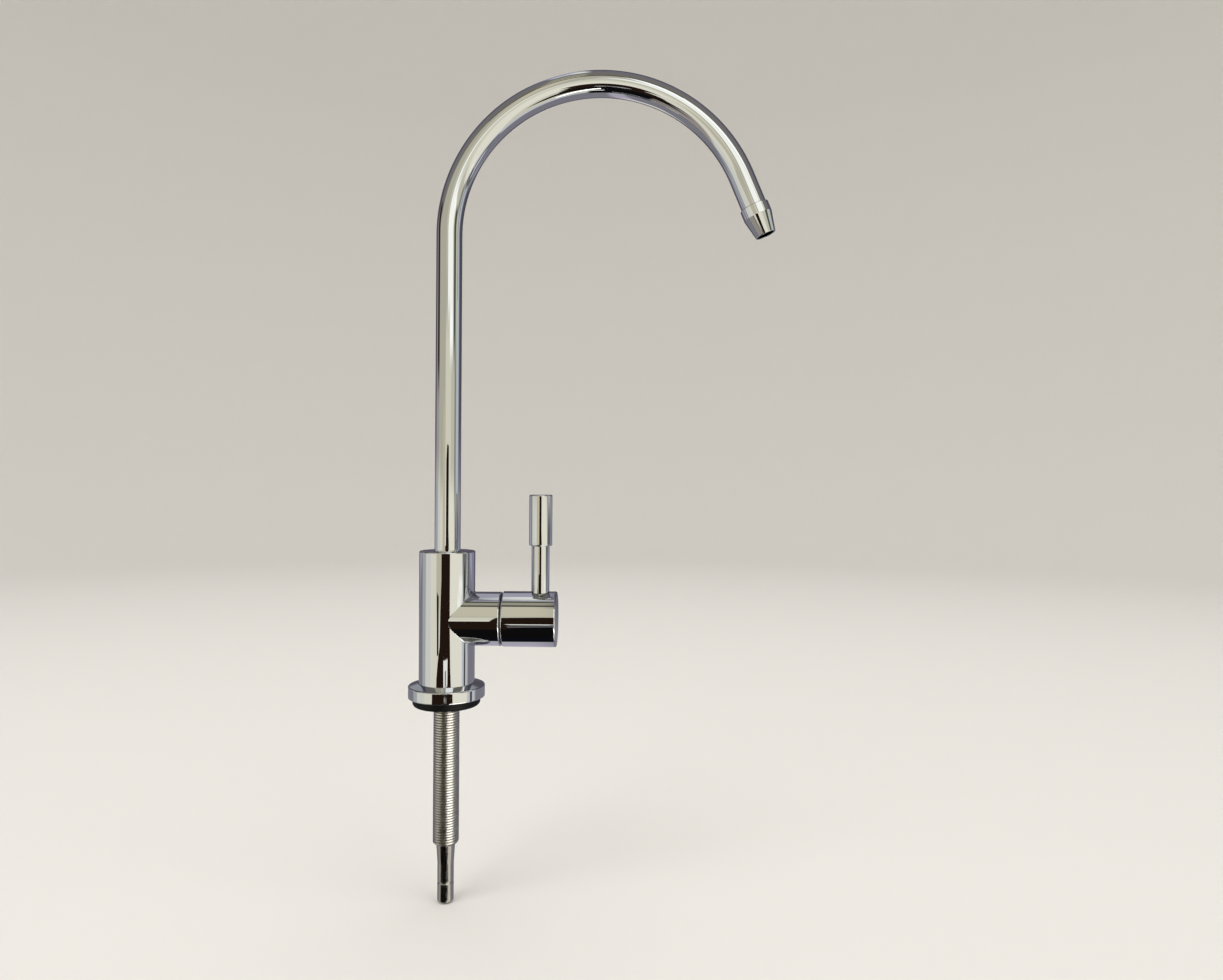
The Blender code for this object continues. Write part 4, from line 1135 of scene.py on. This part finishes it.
@dataclass
class TurnHandle:
    """The turning barrel at the arm's end, its lever and the glide ring between it and the arm."""

    steps: int = 144
    lever_steps: int = 96
    boss_steps: int = 64
    rim_round: float = 0.6
    mouth_round: float = 0.4
    mouth_inner_round: float = 0.15
    cavity_round: float = 0.4
    wall: float = 1.5
    end_wall: float = 2.2
    spindle_radius: float = 3.0
    hub_wall: float = 2.8
    hub_gap: float = 0.25
    hub_length: float = 7.8
    hub_round: float = 0.2
    hub_floor: float = 0.9
    spline_teeth: int = 12
    spline_depth: float = 0.45
    spline_play: float = 0.15
    boss_wall: float = 1.3
    grip_length: float = 19.9
    grip_top_round: float = 0.5
    grip_foot_round: float = 1.0
    rod_radius: float = 3.5
    rod_top_round: float = 0.15
    rod_foot_round: float = 0.2
    seat_gap: float = 0.25
    seat_depth: float = 0.85
    screw_radius: float = 2.0
    screw_round: float = 0.3
    screw_gap: float = 0.3
    glide_wall: float = 1.25
    glide_round: float = 0.1

    def __post_init__(self) -> None:
        """Read the places of the barrel and the lever from the frame."""
        self.barrel = Extent.of("handle_barrel")
        self.lever = Extent.of("lever")
        self.axis = Vector((0, 0, joint_place("handle_turn").z))
        self.lever_x = self.lever.middle.x

    def build_barrel(self, palette: Palette) -> None:
        """Make the barrel: a shell with a splined hub, and a boss and a seat for the lever.

        Args:
            palette: the materials.
        """
        start, end = self.barrel.low.x / MM, self.barrel.high.x / MM
        outer = self.barrel.high.y / MM
        cavity_end = end - self.end_wall
        hub = self.spindle_radius + self.hub_gap + self.hub_wall
        bore = outer - self.wall
        hub_start = cavity_end - self.hub_length
        outline = rounded([
            (0, end, 0), (outer, end, self.rim_round), (outer, start, self.mouth_round),
            (bore, start, self.mouth_inner_round), (bore, cavity_end, self.cavity_round),
            (hub, cavity_end, self.cavity_round), (hub, hub_start, self.hub_round),
            (0, hub_start, 0)], closed=False)
        obj = turned("turning_barrel", outline, self.steps, ACROSS, self.axis, closed=False)

        boss = (self.screw_radius + self.screw_gap + self.boss_wall) * MM
        seat = outer - self.seat_depth
        middle = (bore + seat) / 2 * MM
        foot = Vector((self.lever_x, 0, self.axis.z))
        hub_inside = (self.spindle_radius + hub) / 2 * MM
        post = [(0, middle), (boss, middle), (boss, hub_inside), (0, hub_inside)]
        obj = combine(obj, Operation.JOIN,
                      turned("lever_boss", post, self.boss_steps, UP, foot, closed=False))

        spread = (self.rod_radius + self.seat_gap) * MM
        screw = (self.screw_radius + self.screw_gap) * MM
        over = (outer + 1) * MM
        hole = [(0, over), (spread, over), (spread, seat * MM), (screw, seat * MM), (screw, 0), (0, 0)]
        tip = (self.spindle_radius + self.spline_play) * MM
        radii = (tip, tip - self.spline_depth * MM)
        star = []
        for i in range(2 * self.spline_teeth):
            turn = math.pi * i / self.spline_teeth
            star.append((radii[i % 2] * math.cos(turn), radii[i % 2] * math.sin(turn)))
        floor = (cavity_end + self.hub_floor) * MM
        obj = combine(obj, Operation.CUT,
                      turned("lever_hole", hole, self.lever_steps, UP, foot, closed=False),
                      prism("hub_spline", star, (hub_start - 1) * MM, floor, self.axis))
        shade(obj)
        dress(obj, palette.chrome, ChromePlate.slot, Body.HANDLE, "handle_barrel")

    def build_lever(self, palette: Palette) -> None:
        """Make the lever: grip, rod and screw end in one turned piece.

        Args:
            palette: the materials.
        """
        grip = self.lever.high.y / MM
        top, end = self.lever.high.z / MM, self.lever.low.z / MM
        grip_foot = top - self.grip_length
        rod_foot = self.axis.z / MM + self.barrel.high.y / MM - self.seat_depth + self.seat_gap
        outline = rounded([
            (0, top, 0), (grip, top, self.grip_top_round), (grip, grip_foot, self.grip_foot_round),
            (self.rod_radius, grip_foot, self.rod_top_round),
            (self.rod_radius, rod_foot, self.rod_foot_round), (self.screw_radius, rod_foot, 0),
            (self.screw_radius, end, self.screw_round), (0, end, 0)], closed=False, steps=5)
        foot = Vector((self.lever_x, 0, 0))
        obj = turned("lever_handle", outline, self.lever_steps, UP, foot, closed=False)
        dress(obj, palette.chrome, ChromePlate.slot, Body.HANDLE, "lever")

    def build(self, palette: Palette) -> None:
        """Make the barrel, the lever and the glide ring.

        Args:
            palette: the materials.
        """
        self.build_barrel(palette)
        self.build_lever(palette)
        ring = Extent.of("handle_glide_ring")
        outer, inner = ring.high.y / MM, ring.high.y / MM - self.glide_wall
        low, high = ring.low.x / MM, ring.high.x / MM
        outline = rounded([(radius, x, self.glide_round) for radius, x in (
            (outer, low), (outer, high), (inner, high), (inner, low))])
        obj = turned("glide_ring", outline, self.steps, ACROSS, self.axis)
        dress(obj, palette.nylon, "black_nylon", Body.FIXED, "handle_glide_ring")


@dataclass
class InnerWorks:
    """The cartridge, spindle, ferrule and seals, which keep their CAD solids under better finishes."""

    rubber: tuple[str, ...] = ("shank_seal", "seat_seal", "housing_seal", "spout_seal_lower",
                               "spout_seal_upper", "spindle_seal_inner", "spindle_seal_outer")
    brass: tuple[str, ...] = ("spout_ferrule", "cartridge_housing", "spindle")
    steel: tuple[str, ...] = ("spout_clip", "spindle_circlip")
    ceramic: tuple[str, ...] = ("fixed_disc", "moving_disc")
    nylon: tuple[str, ...] = ("spout_thrust_washer", "friction_washer")

    def build(self, palette: Palette) -> None:
        """Put each finish on its CAD nodes.

        Args:
            palette: the materials.
        """
        for kind in ("rubber", "brass", "steel", "ceramic", "nylon"):
            material = getattr(palette, kind)
            for node in getattr(self, kind):
                for place in frame["nodes"][node].material_slots:
                    place.material = material
                LOG.info("%s: CAD solid in %s", node, material.name)


class Sphere(Enum):
    """How a patch of the tent is measured, as seen from the faucet, in degrees.

    BEARING has the bearing, 0 towards -Y and growing to +X, and the height over the horizon.
    PITCH has the swing to +X out of the YZ plane, and the pitch in that plane from -Y over the top.
    """

    BEARING = "bearing"
    PITCH = "pitch"


@dataclass(frozen=True)
class Patch:
    """One cloth of the light tent, with its colour as the chrome shows it."""

    name: str
    sphere: Sphere
    across: tuple[float, float]
    along: tuple[float, float]
    colour: str
    soft: float = 1.5

    def cover(self, way: np.ndarray) -> np.ndarray:
        """Return how much of the patch lies in each direction.

        Args:
            way: unit directions, one row each.

        Returns:
            A cover from 0 to 1 for each row.
        """
        x, y, z = way.T
        if self.sphere is Sphere.BEARING:
            side = np.degrees(np.arctan2(x, -y))
            rise = np.degrees(np.arcsin(np.clip(z, -1, 1)))
        else:
            side = np.degrees(np.arcsin(np.clip(x, -1, 1)))
            rise = np.degrees(np.arctan2(z, -y))
        cover = np.ones(len(way))
        for value, (low, high) in ((side, self.across), (rise, self.along)):
            off = np.abs((value - (low + high) / 2 + 180) % 360 - 180)
            step = np.clip(((high - low) / 2 + self.soft / 2 - off) / self.soft, 0, 1)
            cover *= step * step * (3 - 2 * step)
        return cover


@dataclass(frozen=True)
class Card:
    """A flat card that hangs near the faucet, with its corners in millimetres."""

    name: str
    corners: tuple[tuple[float, float, float], ...]
    colour: str
    strength: float = GLOW

    def build(self) -> None:
        """Hang the card where only reflections see it."""
        points = [Vector(corner) * MM for corner in self.corners]
        card = polyhedron(self.name, points, [tuple(range(len(points)))])
        reflection_only(card, emitter(f"{self.name}_paper", self.strength, colour=self.colour))


@dataclass
class LightTent:
    """A tent of cream cloth round the faucet, which only the reflections show.

    Polished chrome shows little but its surroundings, so the tent gives it the soft room of the
    photograph, with a dark screen in front. The camera, the floor and the shadows don't see it.
    """

    radius: float = 3.0
    step: float = 0.5
    gain: float = GLOW
    ground: str = "#B8B39A"
    walls: tuple[Patch, ...] = (
        Patch("low front", Sphere.BEARING, (-70, 75), (-90, -24), "#C4C1AE", 8),
        Patch("high front", Sphere.BEARING, (-76, 16), (2, 90), "#A9A595", 4),
        Patch("front", Sphere.BEARING, (-15, 36), (1, 14), "#CBC8B4", 4),
        Patch("right front", Sphere.BEARING, (34, 62), (1, 14), "#B9B5A6", 4),
        Patch("lower front", Sphere.BEARING, (-15, 80), (-30, 2), "#DCD8C8", 3),
        Patch("left front", Sphere.BEARING, (-62, -13), (-32, 1), "#D1CDBD", 4),
        Patch("olive cloth", Sphere.BEARING, (-34, -13), (-7.4, 8), "#B5AF9A", 3),
        Patch("left", Sphere.BEARING, (-88, -60), (-32, 3), "#C6C5BE", 6),
        Patch("left corner", Sphere.BEARING, (-113, -87), (-32, 3), "#9B9E9E", 5),
        Patch("far left", Sphere.BEARING, (-180, -112), (-90, 3), "#94919E", 4),
        Patch("low left", Sphere.BEARING, (-110, -36), (-90, -23), "#8E8680", 6),
        Patch("left shelf", Sphere.BEARING, (-102, -76), (3, 34), "#96948F", 4),
        Patch("dark shelf", Sphere.BEARING, (-101, -76), (9.3, 34), "#2F2820", 4),
        Patch("upper far left", Sphere.BEARING, (-180, -102), (3, 60), "#8E8490", 4),
        Patch("right", Sphere.BEARING, (84, 110), (0, 60), "#ADB5BA", 4),
        Patch("right wall", Sphere.BEARING, (74, 103), (-90, 0), "#BABAC0", 3),
        Patch("upper far right", Sphere.BEARING, (108, 182), (0, 60), "#848392", 6),
        Patch("far right", Sphere.BEARING, (102, 182), (-90, 0), "#7B7D8E", 3),
        Patch("right panel", Sphere.BEARING, (116, 129), (-30, -3), "#A6A6B0", 3),
        Patch("low panel", Sphere.BEARING, (114, 130), (-18, -12.8), "#C4BEC8", 2),
        Patch("right screen", Sphere.BEARING, (100, 116), (-30, -9.5), "#A5A5A8", 3),
        Patch("right post", Sphere.BEARING, (103, 113), (-9.5, -4), "#65636C", 3),
        Patch("near post", Sphere.BEARING, (80, 92), (-8.8, -3.5), "#2B2C25", 2),
        Patch("foot of the near post", Sphere.BEARING, (84, 92), (-30, -9), "#3E403C", 3),
        Patch("grey board", Sphere.BEARING, (75, 112), (-4.4, 0.3), "#5E5E5C", 4),
        Patch("grey post", Sphere.BEARING, (66, 82), (0, 12), "#82827A", 5),
        Patch("dark post", Sphere.BEARING, (54, 72), (11.5, 36), "#464B4B", 4),
        Patch("window", Sphere.BEARING, (1, 45), (14.4, 33), "#F3F3EA", 3),
        Patch("window sill", Sphere.BEARING, (20, 47), (11.4, 15), "#FBFBF3", 3),
        Patch("glint", Sphere.BEARING, (52, 68), (-7.6, -6.3), "#EFEDE2", 1.0),
        Patch("second glint", Sphere.BEARING, (58, 75), (-6.1, -4.9), "#EFEDE2", 1.0),
        Patch("skylight", Sphere.BEARING, (6, 76), (34, 53), "#FFFFFC", 3),
        Patch("back left", Sphere.BEARING, (-181, -140), (-70, 75), "#514D56", 20),
        Patch("back right", Sphere.BEARING, (154, 181), (-70, 75), "#4C4A54", 20),
    )
    ceiling: tuple[Patch, ...] = (
        Patch("near ceiling", Sphere.PITCH, (-60, 60), (52, 81), "#6E6A62", 2),
        Patch("far ceiling", Sphere.PITCH, (-60, 60), (80, 172), "#6A676E", 2),
        Patch("back ceiling", Sphere.PITCH, (-60, 60), (110, 176), "#4B4850", 16),
        Patch("grey skylight", Sphere.PITCH, (-26, -12), (140, 165), "#85888E", 12),
        Patch("right skylight", Sphere.PITCH, (-2.5, 3), (140, 152), "#8E9696", 8),
        Patch("cream ceiling", Sphere.PITCH, (-12, -3), (17, 59), "#BDB7A2", 3),
        Patch("olive ceiling", Sphere.PITCH, (-12, -3), (64, 80), "#93907F", 2),
        Patch("beam", Sphere.PITCH, (-12, -3), (79, 85.5), "#3E4038", 2),
        Patch("lavender ceiling", Sphere.PITCH, (-12, -3), (85.5, 141), "#9897A3", 2),
        Patch("lamp's edge", Sphere.PITCH, (-12, -7), (91, 104), "#B2B7BC", 3),
        Patch("lamp", Sphere.PITCH, (-7, -3), (88, 111), "#D2D2CE", 3),
    )
    low_cloths: tuple[Patch, ...] = (
        Patch("floor behind", Sphere.PITCH, (-70, 70), (-172, -96), "#75737A", 4),
        Patch("floor under the arm", Sphere.PITCH, (-12, -3), (-172, -121), "#A59CAC", 4),
        Patch("bright floor", Sphere.PITCH, (-12, -3), (-121, -96), "#A09EA8", 4),
        Patch("dark floor", Sphere.PITCH, (-30, 16), (-62, -34), "#0D0B0B", 3),
        Patch("near dark floor", Sphere.PITCH, (-26, 8), (-100, -58), "#0B0C11", 3),
        Patch("back sheet", Sphere.BEARING, (-174, -156), (-27, -9), "#D0CEC8", 5),
    )
    cards: tuple[Card, ...] = (
        Card("front_screen", (
            (-24, -333, 106), (10, -333, 118), (104, -333, 118), (106, -333, 52), (130, -333, 40),
            (130, -333, -20), (150, -333, -56), (170, -333, -72), (190, -333, -110),
            (190, -333, -190), (390, -333, -200), (390, -333, -420), (-235, -333, -420),
            (-235, -333, -190), (-215, -333, -95), (-204, -333, -72), (-160, -333, -52),
            (-112, -333, -38), (-100, -333, -10), (-76, -333, 16), (-28, -333, 18)), "#20150F"),
        Card("screen_foot", ((-440, -332.5, -196), (-30, -332.5, -215), (0, -332.5, -105),
                             (60, -332.5, -92), (400, -332.5, -196), (400, -332.5, -420),
                             (-440, -332.5, -420)), "#0D0C0C"),
        Card("narrow_screen", ((-4.8, -30, 47.4), (-4.8, -30, 60.5), (-1, -30, 60.5),
                               (-1, -30, 47.4)), "#20150F"),
        Card("dark_apron", ((-230, -120, -150), (26, -120, -150), (26, -120, -340),
                            (-230, -120, -340)), "#0C0B0B"),
        Card("light_apron", ((46, -120, -150), (230, -120, -150), (230, -120, -340),
                             (46, -120, -340)), "#E8E4DA"),
        Card("grey_tag", ((14, -330, -70), (40, -330, -70), (36, -330, -74),
                          (16, -330, -73)), "#8E8E8A"),
        Card("small_grey_tag", ((44, -330, -72), (60, -330, -71), (58, -330, -76),
                                (46, -330, -76)), "#7E7E7A"),
        Card("side_screen", ((-204, -332, 0), (-143, -332, 0), (-141, -332, -46),
                             (-190, -332, -50)), "#14110C"),
        Card("white_sheet", ((-18, -331, -44), (74, -331, -44), (70, -331, -65),
                             (-14, -331, -65)), "#DEDED8"),
        Card("grey_plate", ((16, -330, -52), (46, -330, -52), (46, -330, -64),
                            (18, -330, -64)), "#77776F"),
        Card("grey_strap", ((-18, -331, -126), (26, -331, -108), (26, -331, -92),
                            (-18, -331, -106)), "#77777B"),
        Card("ceiling_rail", ((-170, -225, 517), (190, -225, 517), (190, -270, 517),
                              (-170, -270, 517)), "#1C1A16"),
        Card("shank_light", ((58, -172, -44), (168, -66, -44), (168, -66, -124),
                             (58, -172, -124)), "#FFFDF8", 3.0),
        Card("stem_light", ((120, -110, -124), (168, -62, -124), (168, -62, -210),
                            (120, -110, -210)), "#B5B0A4"),
    )

    def paint(self, way: np.ndarray) -> np.ndarray:
        """Lay the cloths over the tent's ground, one on the other in their order.

        Args:
            way: unit directions, one row each.

        Returns:
            The linear colour of the tent in each direction.
        """
        colour = np.tile(np.array(linear(self.ground)[:3]), (len(way), 1))
        for patch in (*self.walls, *self.ceiling, *self.low_cloths):
            colour += patch.cover(way)[:, None] * (np.array(linear(patch.colour)[:3]) - colour)
        return colour

    def build(self) -> None:
        """Make the tent as a sphere with a colour at each point, and hang the cards in it."""
        across, along = round(360 / self.step), round(180 / self.step)
        turn = np.radians(np.arange(across) * self.step)
        rise = np.radians(np.linspace(-90, 90, along + 1))
        flat, lift = np.cos(rise)[:, None], np.sin(rise)[:, None] + 0 * turn
        way = np.stack([flat * np.sin(turn), -flat * np.cos(turn), lift], -1).reshape(-1, 3)
        faces = [(row * across + i, row * across + (i + 1) % across,
                  (row + 1) * across + (i + 1) % across, (row + 1) * across + i)
                 for row in range(along) for i in range(across)]
        mesh = bpy.data.meshes.new("light_tent")
        mesh.from_pydata((way * self.radius).tolist(), [], faces)
        glow = mesh.color_attributes.new("glow", "FLOAT_COLOR", "POINT")
        colour = np.c_[self.paint(way), np.ones(len(way))].astype(np.float32)
        glow.data.foreach_set("color", colour.ravel())
        tent = bpy.data.objects.new("light_tent", mesh)
        reflection_only(tent, emitter("tent_cloth", self.gain, attribute="glow"))
        for card in self.cards:
            card.build()


def emitter(name: str, strength: float, colour: str = "#FFFFFF",
            attribute: str | None = None) -> bpy.types.Material:
    """Make a material that only glows.

    Args:
        name: the material's name.
        strength: the glow's strength.
        colour: its colour.
        attribute: a colour attribute that takes the colour's place.

    Returns:
        The material, which isn't sampled as a lamp.
    """
    material = bpy.data.materials.new(name)
    material.use_nodes = True
    tree = material.node_tree
    tree.nodes.clear()
    paint = linear(colour)
    if attribute:
        paint = add_node(tree, "ShaderNodeAttribute", attribute_name=attribute).outputs["Color"]
    glow = add_node(tree, "ShaderNodeEmission", {"Color": paint, "Strength": strength})
    add_node(tree, "ShaderNodeOutputMaterial", {"Surface": glow.outputs[0]})
    material.cycles.emission_sampling = "NONE"
    return material


def reflection_only(obj: bpy.types.Object, material: bpy.types.Material) -> None:
    """Put an object of the stage where only reflections see it.

    Args:
        obj: the object.
        material: its material.
    """
    if not obj.users_collection:
        bpy.context.scene.collection.objects.link(obj)
    obj.data.materials.append(material)
    obj.visible_camera = False
    obj.visible_diffuse = False
    obj.visible_shadow = False
    obj.visible_volume_scatter = False


@dataclass
class Studio:
    """The pale floor and backdrop, the soft lamps and the camera."""

    floor_drop: float = 0.6
    floor_radius: float = 1.6
    cove_radius: float = 1.2
    cove_steps: int = 16
    cove_sides: int = 96
    wall_height: float = 3.0
    cloth: str = "#E9E7E3"
    cloth_roughness: float = 0.9
    cloth_specular: float = 0.1
    world_strength: float = 0.75
    aim: tuple[float, float, float] = (0.05, 0.0, 0.08)
    image_width: int = 1223
    focal_pixels: float = 850.0
    camera_place: tuple[float, float, float] = (63.8, -331.5, 84.0)
    camera_roll: float = -0.35

    def backdrop(self) -> None:
        """Make a round pale floor that curves up into a wall."""
        floor = Extent.of("shank").low.z - self.floor_drop * MM
        outline = [(0.0, floor), (self.floor_radius, floor)]
        for step in range(1, self.cove_steps + 1):
            swing = math.radians(90 * step / self.cove_steps)
            outline.append((self.floor_radius + self.cove_radius * math.sin(swing),
                            floor + self.cove_radius * (1 - math.cos(swing))))
        outline.append((self.floor_radius + self.cove_radius, self.wall_height))
        obj = turned("pale_cove", outline, self.cove_sides, closed=False)
        material = bpy.data.materials.new("pale_paper")
        material.use_nodes = True
        shader = material.node_tree.nodes["Principled BSDF"]
        shader.inputs["Base Color"].default_value = linear(self.cloth)
        shader.inputs["Roughness"].default_value = self.cloth_roughness
        shader.inputs["Specular IOR Level"].default_value = self.cloth_specular
        obj.data.materials.append(material)
        obj.visible_glossy = False

    def lamp(self, name: str, place: tuple[float, float, float], size: float, power: float) -> None:
        """Add a square soft lamp that looks at the faucet.

        Args:
            name: the lamp's name.
            place: where it hangs, in metres.
            size: the length of its side, in metres.
            power: its power, in watts.
        """
        data = bpy.data.lights.new(name, "AREA")
        data.size = size
        data.energy = power
        obj = bpy.data.objects.new(name, data)
        obj.location = place
        way = Vector(self.aim) - Vector(place)
        obj.rotation_euler = way.to_track_quat("-Z", "Y").to_euler()
        obj.visible_camera = False
        obj.visible_glossy = False
        bpy.context.scene.collection.objects.link(obj)

    def build(self) -> None:
        """Set up the backdrop, the world, the lamps, the tent and the camera."""
        scene = bpy.context.scene
        scene.view_settings.view_transform = "Standard"
        self.backdrop()
        world = bpy.data.worlds.new("pale_room")
        world.use_nodes = True
        back = world.node_tree.nodes["Background"]
        back.inputs["Color"].default_value = linear(self.cloth)
        back.inputs["Strength"].default_value = self.world_strength
        scene.world = world
        self.lamp("key_lamp", place=(-0.9, -1.0, 1.5), size=1.2, power=13)
        self.lamp("fill_lamp", place=(1.2, -0.8, 1.2), size=1.4, power=6.5)
        self.lamp("top_lamp", place=(0.05, 0.3, 1.9), size=1.8, power=10.5)
        LightTent().build()

        data = bpy.data.cameras.new("photo_camera")
        data.lens = data.sensor_width * self.focal_pixels / self.image_width
        data.clip_start = 0.01
        camera = bpy.data.objects.new("photo_camera", data)
        camera.location = Vector(self.camera_place) * MM
        camera.rotation_euler = (math.radians(90), math.radians(self.camera_roll), 0)
        scene.collection.objects.link(camera)
        scene.camera = camera


def main() -> None:
    """Build the faucet's sub-assemblies in order, then the studio round them."""
    logging.basicConfig(level=logging.INFO, format="%(name)s: %(message)s")
    palette = Palette()
    for assembly in (BodyCasting(), BaseSet(), Shank(), Gooseneck(), TurnHandle(), InnerWorks()):
        assembly.build(palette)
        LOG.info("%s is done", type(assembly).__name__)
    Studio().build()


if __name__ == "__main__":
    main()
